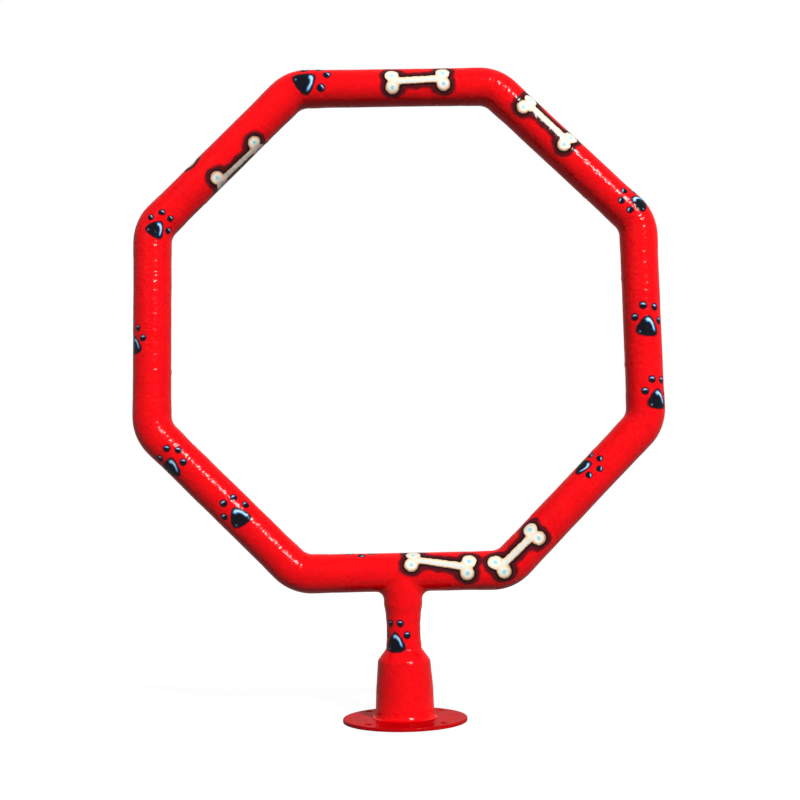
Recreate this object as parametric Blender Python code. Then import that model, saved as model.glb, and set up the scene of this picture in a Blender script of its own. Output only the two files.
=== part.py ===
"""Dog sprinkler hoop: an upright octagon of welded pipe on a bell-shaped foot and a round flange.

Metres, +Z up. The origin is on the ground, under the middle of the flange. The hoop stands in the XZ
plane, so a dog jumps through it along Y. Water comes up through the flange into the inlet coupling,
climbs the stem, splits at the tee and leaves through jets in the inward faces of the straight tubes.
"""

import math

import bmesh
import bpy
from mathutils import Matrix, Vector

# Hoop pipe
HOOP_SIDE = 0.325
TUBE_OD = 0.0603
TUBE_WALL = 0.0039
PIPE_SEGMENTS = 24

# Elbows
ELBOW_BEND_RADIUS = 0.055
ELBOW_TANGENT = 0.0222
ELBOW_SWELL = 0.0011
ELBOW_BEND_STEPS = 4
BORE_BEND_STEPS = 3
WELD_RISE = 0.0016
WELD_CREST = 0.0030

# Tee
TEE_FILLET = 0.012
TEE_FILLET_STEPS = 3
TEE_RUN_LAND = 0.0213
TEE_BRANCH_LAND = 0.0128
TEE_TAPER = 0.012
TEE_LIP = 0.0008
TEE_SOCKET_DEPTH = 0.016

# Stem
STEM_OD = 0.0530
STEM_WALL = 0.0039
STEM_SHOWN = 0.0470

# Bell
BELL_HEIGHT = 0.1077
BELL_WALL = 0.0036
BELL_SEGMENTS = 36
BELL_LIP = 0.0008
BELL_COLLAR = 0.0035
BELL_SHOULDER_WIDTH = 0.0140
BELL_SHOULDER_DROP = 0.0175
BELL_SHOULDER_ROUND = 0.0030
BELL_SKIRT_FLARE = 0.0050
BELL_SKIRT_BULGE = 0.0010
BELL_WELD_WIDTH = 0.0085
BELL_WELD_HEIGHT = 0.0140
BELL_WELD_TOE = 0.0008
BELL_WELD_STEPS = 4

# Flange
FLANGE_DIAMETER = 0.1924
FLANGE_THICKNESS = 0.0055
FLANGE_EDGE_ROUND = 0.0012
FLANGE_SEGMENTS = 64
BOLT_COUNT = 4
BOLT_HOLE_DIAMETER = 0.011
BOLT_EDGE_DISTANCE = 0.0162
BOLT_HOLE_SEGMENTS = 16

# Inlet coupling
INLET_BORE = 0.0332
INLET_LAND = 0.0054
COUPLING_WALL = 0.0064
COUPLING_HEIGHT = 0.042
COUPLING_SOCKET_DEPTH = 0.018
COUPLING_CHAMFER = 0.0012

# Spray jets
JETS_PER_SIDE = 2
JET_END_DISTANCE = 0.047
JET_HEAD_DIAMETER = 0.012
JET_HEAD_HEIGHT = 0.0014
JET_HEAD_CHAMFER = 0.0004
JET_SHANK_DIAMETER = 0.0075
JET_ORIFICE = 0.0024
JET_SINK = 0.0002
JET_SEGMENTS = 12

# Fits: the gap between neighbouring pieces, and how far a cutter runs past what it cuts
GAP = 0.0003
OVERRUN = 0.002
SHADE_SHARP_ANGLE = math.radians(32)

# The sides of the hoop in turn, from the bottom one and clockwise as seen from the front
SIDE_NAMES = ("bottom", "lower_left", "left", "upper_left", "top", "upper_right", "right", "lower_right")
ELBOW_NAMES = (
    "bottom_left", "left_lower", "left_upper", "top_left",
    "top_right", "right_upper", "right_lower", "bottom_right",
)

# Sizes that follow from those above
TUBE_RADIUS = TUBE_OD / 2
TUBE_BORE_RADIUS = TUBE_RADIUS - TUBE_WALL
SIDE_TURN = 2 * math.pi / len(SIDE_NAMES)
HALF_TURN = SIDE_TURN / 2
APOTHEM = HOOP_SIDE / (2 * math.tan(HALF_TURN))
CORNER_RADIUS = HOOP_SIDE / (2 * math.sin(HALF_TURN))
ELBOW_SETBACK = ELBOW_BEND_RADIUS * math.tan(HALF_TURN) + ELBOW_TANGENT
STRAIGHT_HALF = HOOP_SIDE / 2 - ELBOW_SETBACK - GAP
TEE_RUN_HALF = TUBE_RADIUS + TEE_FILLET + TEE_RUN_LAND
TEE_REACH = TUBE_RADIUS + TEE_FILLET + TEE_BRANCH_LAND + TEE_TAPER
STEM_RADIUS = STEM_OD / 2
STEM_BORE_RADIUS = STEM_RADIUS - STEM_WALL
STEM_FIT_RADIUS = STEM_RADIUS + GAP
FLANGE_RADIUS = FLANGE_DIAMETER / 2
BOLT_CIRCLE_RADIUS = FLANGE_RADIUS - BOLT_EDGE_DISTANCE
INLET_BORE_RADIUS = INLET_BORE / 2
SEAT_HEIGHT = FLANGE_THICKNESS + GAP
COUPLING_RADIUS = STEM_FIT_RADIUS + COUPLING_WALL
COUPLING_TOP = SEAT_HEIGHT + COUPLING_HEIGHT
BELL_TOP = SEAT_HEIGHT + BELL_HEIGHT
TEE_FOOT = BELL_TOP + STEM_SHOWN
TEE_AXIS_HEIGHT = TEE_FOOT + TEE_REACH
HOOP_CENTRE_HEIGHT = TEE_AXIS_HEIGHT + APOTHEM
STEM_LOW = COUPLING_TOP - COUPLING_SOCKET_DEPTH + GAP
STEM_HIGH = TEE_FOOT + TEE_SOCKET_DEPTH - GAP
JET_HEAD_RADIUS = JET_HEAD_DIAMETER / 2
JET_SHANK_RADIUS = JET_SHANK_DIAMETER / 2
JET_ORIFICE_RADIUS = JET_ORIFICE / 2
JET_CROWN = TUBE_RADIUS - JET_SINK
JET_HEAD_SEAT = JET_CROWN - JET_HEAD_HEIGHT
JET_POCKET_FLOOR = JET_HEAD_SEAT - GAP


def clear_scene():
    """Start from an empty scene."""
    for obj in list(bpy.data.objects):
        bpy.data.objects.remove(obj, do_unlink=True)


def make_material(name, colour, roughness, metallic, coat=0.0):
    """A Principled BSDF with one linear colour."""
    material = bpy.data.materials.new(name)
    material.use_nodes = True
    shader = material.node_tree.nodes["Principled BSDF"]
    shader.inputs["Base Color"].default_value = (*colour, 1.0)
    shader.inputs["Roughness"].default_value = roughness
    shader.inputs["Metallic"].default_value = metallic
    shader.inputs["Coat Weight"].default_value = coat
    material.diffuse_color = (*colour, 1.0)
    return material


def finish_mesh(bm, name):
    """Close a bmesh into a mesh with its faces pointing out and its curved faces smooth."""
    bmesh.ops.remove_doubles(bm, verts=bm.verts, dist=1e-6)
    bmesh.ops.recalc_face_normals(bm, faces=bm.faces)
    mesh = bpy.data.meshes.new(name)
    bm.to_mesh(mesh)
    bm.free()
    mesh.shade_smooth()
    mesh.set_sharp_from_angle(angle=SHADE_SHARP_ANGLE)
    return mesh


def add_object(name, mesh, material, parent, place):
    """Put a piece in the scene, at its place in its parent's frame."""
    obj = bpy.data.objects.new(name, mesh)
    bpy.context.scene.collection.objects.link(obj)
    obj.parent = parent
    obj.matrix_local = place
    if material is not None and not mesh.materials:
        mesh.materials.append(material)
    return obj


def add_frame(name, height):
    """An empty on the Z axis that carries the pieces around it."""
    empty = bpy.data.objects.new(name, None)
    bpy.context.scene.collection.objects.link(empty)
    empty.location = (0, 0, height)
    return empty


def cut_with(piece, cutter_name, cutter_mesh, place):
    """Take the cutter's shape out of a piece. The cutter moves with the piece and isn't rendered."""
    cutter = add_object(cutter_name, cutter_mesh, None, piece, place)
    cutter.hide_render = True
    cutter.display_type = "WIRE"
    cut = piece.modifiers.new(cutter_name, "BOOLEAN")
    cut.operation = "DIFFERENCE"
    cut.solver = "EXACT"
    cut.object = cutter


def turned_mesh(name, profile, segments):
    """Spin a closed outline of (radius, height) points round the Z axis."""
    bm = bmesh.new()
    verts = [bm.verts.new((radius, 0, height)) for radius, height in profile]
    edges = [bm.edges.new(pair) for pair in zip(verts, verts[1:] + verts[:1])]
    bmesh.ops.spin(
        bm, geom=verts + edges, cent=(0, 0, 0), axis=(0, 0, 1),
        angle=2 * math.pi, steps=segments, use_merge=True,
    )
    return finish_mesh(bm, name)


def plug_mesh(name, radius, low, high, segments):
    """A solid round plug on the Z axis, used as a cutter."""
    bm = bmesh.new()
    bmesh.ops.create_cone(
        bm, cap_ends=True, segments=segments, radius1=radius, radius2=radius, depth=high - low,
        matrix=Matrix.Translation((0, 0, (low + high) / 2)),
    )
    return finish_mesh(bm, name)


def pipe_ring(bm, centre, inward, radius):
    """A ring of vertices round a pipe's centre line. inward is a unit vector in the XZ plane."""
    across = Vector((0, 1, 0))
    ring = []
    for step in range(PIPE_SEGMENTS):
        angle = 2 * math.pi * step / PIPE_SEGMENTS
        ring.append(bm.verts.new(centre + radius * (math.cos(angle) * inward + math.sin(angle) * across)))
    return ring


def bridge_rings(bm, first, second):
    """Join two rings of equal count with quads."""
    for (a, b), (c, d) in zip(zip(first, first[1:] + first[:1]), zip(second, second[1:] + second[:1])):
        bm.faces.new((a, b, d, c))


def pipe_mesh(name, outer, bore):
    """A pipe with a wall. outer and bore are lists of (centre, inward direction, radius) along it."""
    bm = bmesh.new()
    rings = [pipe_ring(bm, *station) for station in outer]
    rings += [pipe_ring(bm, *station) for station in reversed(bore)]
    for first, second in zip(rings, rings[1:] + rings[:1]):
        bridge_rings(bm, first, second)
    return finish_mesh(bm, name)


def straight_pipe_mesh(name, half_length, radius, bore_radius):
    """A straight pipe along the X axis, centred on the origin."""
    inward = Vector((0, 0, 1))
    ends = [Vector((-half_length, 0, 0)), Vector((half_length, 0, 0))]
    outer = [(end, inward, radius) for end in ends]
    return pipe_mesh(name, outer, [(end, inward, bore_radius) for end in ends])


def bend_stations(steps):
    """Centre and inward direction along an elbow's bend, whose corner is at the origin."""
    centre = Vector((0, 0, ELBOW_BEND_RADIUS / math.cos(HALF_TURN)))
    stations = []
    for step in range(steps + 1):
        angle = HALF_TURN * (2 * step / steps - 1)
        inward = Vector((-math.sin(angle), 0, math.cos(angle)))
        stations.append((centre - ELBOW_BEND_RADIUS * inward, inward))
    return stations


def elbow_mesh():
    """A bent pipe with a short straight tangent and a raised weld at each end."""
    swollen = TUBE_RADIUS + ELBOW_SWELL
    bend = bend_stations(ELBOW_BEND_STEPS)
    outer = [(centre, inward, swollen) for centre, inward in bend]
    bore = [(centre, inward, TUBE_BORE_RADIUS) for centre, inward in bend_stations(BORE_BEND_STEPS)]
    ends = []
    for (centre, inward), way in ((bend[0], -1), (bend[-1], 1)):
        along = Vector((inward.z, 0, -inward.x)) * way
        crest = (centre + along * (ELBOW_TANGENT - WELD_CREST), inward, TUBE_RADIUS + WELD_RISE)
        mouth = (centre + along * ELBOW_TANGENT, inward, TUBE_RADIUS)
        ends.append((crest, mouth))
    (first_crest, first_mouth), (last_crest, last_mouth) = ends
    outer = [first_mouth, first_crest] + outer + [last_crest, last_mouth]
    bore_mouths = [(centre, inward, TUBE_BORE_RADIUS) for centre, inward, _ in (first_mouth, last_mouth)]
    return pipe_mesh("elbow", outer, [bore_mouths[0]] + bore + [bore_mouths[1]])


def fillet_point(start, corner, end, share):
    """A point on the round arc that leaves start towards corner and arrives at end."""
    weight = 2 * math.cos(math.pi / 4) * share * (1 - share)
    near, far = (1 - share) ** 2, share ** 2
    return (start * near + corner * weight + end * far) / (near + weight + far)


def tee_branch_rings(bm):
    """Rings from the fillet's edge on the run, down the filleted branch, to its tapered mouth."""
    angles = [2 * math.pi * step / PIPE_SEGMENTS for step in range(PIPE_SEGMENTS)]
    rings = []
    for row in range(TEE_FILLET_STEPS + 1):
        ring = []
        for angle in angles:
            side = abs(math.cos(angle))
            across = TUBE_RADIUS * math.sin(angle)
            on_run = Vector(((TUBE_RADIUS + TEE_FILLET) * math.cos(angle), across, -TUBE_RADIUS * side))
            corner = Vector((TUBE_RADIUS * math.cos(angle), across, -TUBE_RADIUS * side))
            on_branch = Vector((corner.x, across, -(TUBE_RADIUS + TEE_FILLET) * side))
            ring.append(bm.verts.new(fillet_point(on_run, corner, on_branch, row / TEE_FILLET_STEPS)))
        rings.append(ring)
    mouth_radius = STEM_FIT_RADIUS + TEE_LIP
    middle_radius = (TUBE_RADIUS + mouth_radius) / 2
    straights = (
        (TEE_REACH - TEE_TAPER, TUBE_RADIUS),
        (TEE_REACH - TEE_TAPER / 2, middle_radius),
        (TEE_REACH, mouth_radius),
    )
    for depth, radius in straights:
        rings.append([
            bm.verts.new((radius * math.cos(angle), radius * math.sin(angle), -depth)) for angle in angles
        ])
    return rings


def tee_body_mesh():
    """The solid outside of the tee: a run along X, and a branch down Z that is filleted into it."""
    bm = bmesh.new()
    count, quarter = PIPE_SEGMENTS, PIPE_SEGMENTS // 4
    down = Vector((0, 0, -1))
    left = pipe_ring(bm, Vector((-TEE_RUN_HALF, 0, 0)), down, TUBE_RADIUS)
    right = pipe_ring(bm, Vector((TEE_RUN_HALF, 0, 0)), down, TUBE_RADIUS)
    middle = pipe_ring(bm, Vector((0, 0, 0)), down, TUBE_RADIUS)
    rings = tee_branch_rings(bm)
    saddle = rings[0]
    for step in range(-quarter, quarter):
        near, far = step % count, (step + 1) % count
        bm.faces.new((right[near], right[far], saddle[far], saddle[near]))
        mirror_near, mirror_far = (count // 2 - near) % count, (count // 2 - far) % count
        bm.faces.new((left[far], left[near], saddle[mirror_near], saddle[mirror_far]))
    for step in range(quarter, 3 * quarter):
        near, far = step, step + 1
        bm.faces.new((left[near], left[far], middle[far], middle[near]))
        bm.faces.new((middle[near], middle[far], right[far], right[near]))
    for vert in [middle[step % count] for step in range(1 - quarter, quarter)]:
        bm.verts.remove(vert)
    for first, second in zip(rings, rings[1:]):
        bridge_rings(bm, first, second)
    for mouth in (left, right, rings[-1]):
        bm.faces.new(mouth)
    return finish_mesh(bm, "tee")


def build_tee(material, hoop):
    """The tee in the middle of the hoop's bottom side, bored through and counterbored for the stem."""
    tee = add_object("hoop_tee", tee_body_mesh(), material, hoop, Matrix.Translation((0, 0, -APOTHEM)))
    run_length = TEE_RUN_HALF + OVERRUN
    run_bore = plug_mesh("tee_run_bore", TUBE_BORE_RADIUS, -run_length, run_length, PIPE_SEGMENTS)
    cut_with(tee, "tee_run_bore", run_bore, Matrix.Rotation(math.pi / 2, 4, "Y"))
    socket_floor = TEE_SOCKET_DEPTH - TEE_REACH
    branch_bore = turned_mesh(
        "tee_branch_bore",
        [
            (0, 0), (STEM_BORE_RADIUS, 0), (STEM_BORE_RADIUS, socket_floor), (STEM_FIT_RADIUS, socket_floor),
            (STEM_FIT_RADIUS, -TEE_REACH - OVERRUN), (0, -TEE_REACH - OVERRUN),
        ],
        PIPE_SEGMENTS,
    )
    cut_with(tee, "tee_branch_bore", branch_bore, Matrix.Identity(4))


def side_place(side, along):
    """Where a piece on a side of the hoop goes: local X along the side, local Z to the hoop's middle."""
    return Matrix.Rotation(side * SIDE_TURN, 4, "Y") @ Matrix.Translation((along, 0, -APOTHEM))


def build_elbows(material, hoop):
    """One elbow at each corner of the hoop."""
    mesh = elbow_mesh()
    for corner, name in enumerate(ELBOW_NAMES):
        turn = Matrix.Rotation((corner + 0.5) * SIDE_TURN, 4, "Y")
        place = turn @ Matrix.Translation((0, 0, -CORNER_RADIUS))
        add_object(f"hoop_elbow_{name}", mesh, material, hoop, place)


def build_stubs(material, hoop):
    """The short straight pipes between the tee and the two bottom elbows."""
    inner, outer = TEE_RUN_HALF + GAP, STRAIGHT_HALF
    mesh = straight_pipe_mesh("stub", (outer - inner) / 2, TUBE_RADIUS, TUBE_BORE_RADIUS)
    for name, way in (("left", -1), ("right", 1)):
        place = side_place(0, way * (inner + outer) / 2)
        add_object(f"hoop_stub_{name}", mesh, material, hoop, place)


def jet_stations():
    """How far from the middle of its side each jet sits."""
    reach = STRAIGHT_HALF - JET_END_DISTANCE
    if JETS_PER_SIDE == 1:
        return [0.0]
    return [reach * (2 * number / (JETS_PER_SIDE - 1) - 1) for number in range(JETS_PER_SIDE)]


def jet_mesh():
    """A turned nozzle insert with a flush head, a shank through the pipe wall and a small orifice."""
    shank_end = TUBE_BORE_RADIUS
    return turned_mesh(
        "jet",
        [
            (JET_ORIFICE_RADIUS, shank_end), (JET_SHANK_RADIUS, shank_end), (JET_SHANK_RADIUS, JET_HEAD_SEAT),
            (JET_HEAD_RADIUS, JET_HEAD_SEAT), (JET_HEAD_RADIUS, JET_CROWN - JET_HEAD_CHAMFER),
            (JET_HEAD_RADIUS - JET_HEAD_CHAMFER, JET_CROWN), (JET_ORIFICE_RADIUS, JET_CROWN),
        ],
        JET_SEGMENTS,
    )


def jet_pocket_mesh():
    """The cutter for a jet: a hole through the pipe wall and a flat-floored pocket for the head."""
    low, high = TUBE_BORE_RADIUS - 2 * OVERRUN, TUBE_RADIUS + OVERRUN
    hole, pocket = JET_SHANK_RADIUS + GAP, JET_HEAD_RADIUS + GAP
    return turned_mesh(
        "jet_pocket",
        [
            (0, low), (hole, low), (hole, JET_POCKET_FLOOR),
            (pocket, JET_POCKET_FLOOR), (pocket, high), (0, high),
        ],
        JET_SEGMENTS,
    )


def build_straight_sides(paint, brass, hoop):
    """The seven full straight tubes, each with its row of jets in the face towards the hoop's middle."""
    jet, pocket = jet_mesh(), jet_pocket_mesh()
    for side, name in enumerate(SIDE_NAMES[1:], start=1):
        mesh = straight_pipe_mesh(f"tube_{name}", STRAIGHT_HALF, TUBE_RADIUS, TUBE_BORE_RADIUS)
        tube = add_object(f"hoop_tube_{name}", mesh, paint, hoop, side_place(side, 0))
        for number, along in enumerate(jet_stations(), start=1):
            cut_with(tube, f"jet_pocket_{name}_{number}", pocket, Matrix.Translation((along, 0, 0)))
            add_object(f"spray_jet_{name}_{number}", jet, brass, hoop, side_place(side, along))


def build_stem(material, foot):
    """The pipe that carries the hoop, from the coupling's socket up into the tee's."""
    mesh = turned_mesh(
        "stem",
        [
            (STEM_BORE_RADIUS, STEM_LOW), (STEM_RADIUS, STEM_LOW),
            (STEM_RADIUS, STEM_HIGH), (STEM_BORE_RADIUS, STEM_HIGH),
        ],
        PIPE_SEGMENTS,
    )
    add_object("stem_pipe", mesh, material, foot, Matrix.Identity(4))


def bell_outside(neck_radius, shoulder_radius, skirt_radius):
    """The bell's outline from its neck down to the toe of the weld on the flange."""
    shoulder_top = BELL_TOP - BELL_COLLAR
    shoulder_low = shoulder_top - BELL_SHOULDER_DROP
    skirt_top = shoulder_low - BELL_SHOULDER_ROUND
    slope = Vector((shoulder_radius - neck_radius, -BELL_SHOULDER_DROP)).normalized()
    outline = [(neck_radius, BELL_TOP), (neck_radius, shoulder_top)]
    outline.append((
        shoulder_radius - BELL_SHOULDER_ROUND * slope.x, shoulder_low - BELL_SHOULDER_ROUND * slope.y,
    ))
    outline.append((shoulder_radius, skirt_top))
    start = Vector((skirt_radius, SEAT_HEIGHT + BELL_WELD_HEIGHT))
    skirt_middle = (shoulder_radius + skirt_radius) / 2
    outline.append((skirt_middle + BELL_SKIRT_BULGE, (skirt_top + start.y) / 2))
    corner = Vector((skirt_radius, SEAT_HEIGHT + BELL_WELD_TOE))
    end = Vector((skirt_radius + BELL_WELD_WIDTH, SEAT_HEIGHT + BELL_WELD_TOE))
    for step in range(BELL_WELD_STEPS + 1):
        outline.append(tuple(fillet_point(start, corner, end, step / BELL_WELD_STEPS)))
    return outline


def build_bell(material, foot):
    """The hollow housing round the inlet: a neck on the stem, a cone, a flared skirt and a weld fillet."""
    neck_radius = STEM_FIT_RADIUS + BELL_LIP
    shoulder_radius = STEM_FIT_RADIUS + BELL_SHOULDER_WIDTH
    skirt_radius = shoulder_radius + BELL_SKIRT_FLARE
    outline = bell_outside(neck_radius, shoulder_radius, skirt_radius)
    shoulder_low = BELL_TOP - BELL_COLLAR - BELL_SHOULDER_DROP
    toe = skirt_radius + BELL_WELD_WIDTH
    outline += [
        (toe, SEAT_HEIGHT),
        (skirt_radius - BELL_WALL, SEAT_HEIGHT),
        (shoulder_radius - BELL_WALL, shoulder_low - BELL_SHOULDER_ROUND),
        (STEM_FIT_RADIUS, BELL_TOP - BELL_COLLAR - BELL_WALL),
        (STEM_FIT_RADIUS, BELL_TOP),
    ]
    mesh = turned_mesh("bell", outline, BELL_SEGMENTS)
    add_object("base_bell", mesh, material, foot, Matrix.Identity(4))


def build_flange(material, foot):
    """The round plate on the ground, with a hole for the supply in the middle and four for bolts."""
    hole_radius = INLET_BORE_RADIUS + INLET_LAND
    mesh = turned_mesh(
        "flange",
        [
            (hole_radius, 0), (FLANGE_RADIUS - FLANGE_EDGE_ROUND / 2, 0),
            (FLANGE_RADIUS, FLANGE_EDGE_ROUND / 2), (FLANGE_RADIUS, FLANGE_THICKNESS - FLANGE_EDGE_ROUND),
            (FLANGE_RADIUS - FLANGE_EDGE_ROUND, FLANGE_THICKNESS), (hole_radius, FLANGE_THICKNESS),
        ],
        FLANGE_SEGMENTS,
    )
    flange = add_object("base_flange", mesh, material, foot, Matrix.Identity(4))
    drill = plug_mesh(
        "bolt_drill", BOLT_HOLE_DIAMETER / 2, -OVERRUN, FLANGE_THICKNESS + OVERRUN, BOLT_HOLE_SEGMENTS,
    )
    for number in range(BOLT_COUNT):
        angle = 2 * math.pi * (number + 0.5) / BOLT_COUNT
        spot = Vector((BOLT_CIRCLE_RADIUS * math.cos(angle), BOLT_CIRCLE_RADIUS * math.sin(angle), 0))
        cut_with(flange, f"bolt_hole_{number + 1}", drill, Matrix.Translation(spot))


def build_coupling(material, foot):
    """The inlet coupling on the flange: the supply screws in from below and the stem sits in its top."""
    socket_floor = COUPLING_TOP - COUPLING_SOCKET_DEPTH
    mesh = turned_mesh(
        "coupling",
        [
            (INLET_BORE_RADIUS, SEAT_HEIGHT), (COUPLING_RADIUS, SEAT_HEIGHT),
            (COUPLING_RADIUS, COUPLING_TOP - COUPLING_CHAMFER),
            (COUPLING_RADIUS - COUPLING_CHAMFER, COUPLING_TOP),
            (STEM_FIT_RADIUS, COUPLING_TOP), (STEM_FIT_RADIUS, socket_floor),
            (INLET_BORE_RADIUS, socket_floor),
        ],
        PIPE_SEGMENTS,
    )
    add_object("inlet_coupling", mesh, material, foot, Matrix.Identity(4))


def main():
    """Build the sprinkler hoop."""
    clear_scene()
    paint = make_material("red_gloss_paint", (0.94, 0.003, 0.007), 0.25, 0.0, coat=0.6)
    brass = make_material("brass", (0.78, 0.53, 0.22), 0.35, 1.0)
    steel = make_material("galvanised_steel", (0.55, 0.56, 0.58), 0.45, 1.0)
    hoop = add_frame("hoop_centre", HOOP_CENTRE_HEIGHT)
    foot = add_frame("foot", 0)
    build_flange(paint, foot)
    build_bell(paint, foot)
    build_coupling(steel, foot)
    build_stem(paint, foot)
    build_tee(paint, hoop)
    build_stubs(paint, hoop)
    build_elbows(paint, hoop)
    build_straight_sides(paint, brass, hoop)


main()
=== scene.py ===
from collections.abc import Callable, Iterable, Mapping, Sequence
from dataclasses import dataclass, field
from enum import Enum
import logging
import math

import bmesh
import bpy
from mathutils import Matrix, Vector, noise
import numpy as np


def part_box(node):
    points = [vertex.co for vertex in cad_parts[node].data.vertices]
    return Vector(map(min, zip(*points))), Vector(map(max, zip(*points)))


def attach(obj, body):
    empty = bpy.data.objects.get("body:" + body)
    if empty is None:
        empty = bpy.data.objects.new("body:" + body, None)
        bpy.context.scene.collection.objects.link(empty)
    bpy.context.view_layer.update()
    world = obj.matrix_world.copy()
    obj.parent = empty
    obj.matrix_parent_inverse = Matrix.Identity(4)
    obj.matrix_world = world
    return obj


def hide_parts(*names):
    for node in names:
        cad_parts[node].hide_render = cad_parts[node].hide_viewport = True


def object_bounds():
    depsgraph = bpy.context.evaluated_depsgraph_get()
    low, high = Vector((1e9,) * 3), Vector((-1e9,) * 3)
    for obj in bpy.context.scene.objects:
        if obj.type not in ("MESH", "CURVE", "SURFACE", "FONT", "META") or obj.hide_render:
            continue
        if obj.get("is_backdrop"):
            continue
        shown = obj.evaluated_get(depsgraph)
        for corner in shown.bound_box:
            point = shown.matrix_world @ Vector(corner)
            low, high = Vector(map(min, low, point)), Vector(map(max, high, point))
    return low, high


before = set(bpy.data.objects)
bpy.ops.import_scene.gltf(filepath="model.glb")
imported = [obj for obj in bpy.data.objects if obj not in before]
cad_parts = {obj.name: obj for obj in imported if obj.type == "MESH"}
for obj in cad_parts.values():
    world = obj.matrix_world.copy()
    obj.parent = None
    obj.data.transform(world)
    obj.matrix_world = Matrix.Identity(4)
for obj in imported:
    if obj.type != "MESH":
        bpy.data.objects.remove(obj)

CAD_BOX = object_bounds()
ROOT_BODY = "root"
MM = 0.001

LOG = logging.getLogger("sprinkler_hoop")
logging.basicConfig(level=logging.INFO, format="%(name)s: %(message)s")

FRONT = Vector((0.0, -1.0, 0.0))
UP = Vector((0.0, 0.0, 1.0))
RIGHT = Vector((1.0, 0.0, 0.0))


class Place(Enum):
    """Places whose names are parts of the nodes' names."""

    @property
    def label(self) -> str:
        """The place's name as the nodes spell it."""
        return self.name.lower()


class Side(Place):
    """The eight sides of the hoop, in the order in which they follow each other clockwise."""

    BOTTOM = 0
    LOWER_LEFT = 1
    LEFT = 2
    UPPER_LEFT = 3
    TOP = 4
    UPPER_RIGHT = 5
    RIGHT = 6
    LOWER_RIGHT = 7


class Corner(Place):
    """The eight elbows. Corner number n lies between side n and side n + 1."""

    BOTTOM_LEFT = 0
    LEFT_LOWER = 1
    LEFT_UPPER = 2
    TOP_LEFT = 3
    TOP_RIGHT = 4
    RIGHT_UPPER = 5
    RIGHT_LOWER = 6
    BOTTOM_RIGHT = 7


class Slot(Enum):
    """The names of the record's material slots."""

    PAINT = "red_paint"
    BRASS = "jet_brass"


class Figure(Enum):
    """The figures painted on the pipes."""

    PAW = "paw print"
    BONE = "bone"


SIDE_TURN = 2 * math.pi / len(Side)
SHARP_EDGE = math.radians(35.0)
WELDED = 0.002 * MM


def linear(code: str) -> tuple[float, float, float, float]:
    """Turns an sRGB hex colour into Blender's linear one.

    Args:
        code: The colour as "#RRGGBB".

    Returns:
        Red, green, blue and a full alpha.
    """
    parts = [int(code[start:start + 2], 16) / 255 for start in (1, 3, 5)]
    return (*(part / 12.92 if part <= 0.04045 else ((part + 0.055) / 1.055) ** 2.4 for part in parts), 1.0)


def smooth_step(low: float, high: float, value: float) -> float:
    """Rises from 0 to 1 without a corner.

    Args:
        low: Where the rise starts.
        high: Where it ends.
        value: Where it is read.

    Returns:
        A share from 0 to 1.
    """
    share = min(max((value - low) / (high - low), 0.0), 1.0)
    return share * share * (3 - 2 * share)


def steps(start: float, stop: float, longest: float) -> list[float]:
    """Cuts a length into equal steps.

    Args:
        start: The first value.
        stop: The last value.
        longest: The most that a step may measure.

    Returns:
        All values, with both ends.
    """
    count = max(1, math.ceil(abs(stop - start) / longest))
    return [start + (stop - start) * number / count for number in range(count + 1)]


def circle(count: int) -> list[float]:
    """The angles of equal steps once round, from zero."""
    return [2 * math.pi * step / count for step in range(count)]


# Node sheets


Feed = bpy.types.NodeSocket | bpy.types.Node | float | str | Sequence[float] | None


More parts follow.
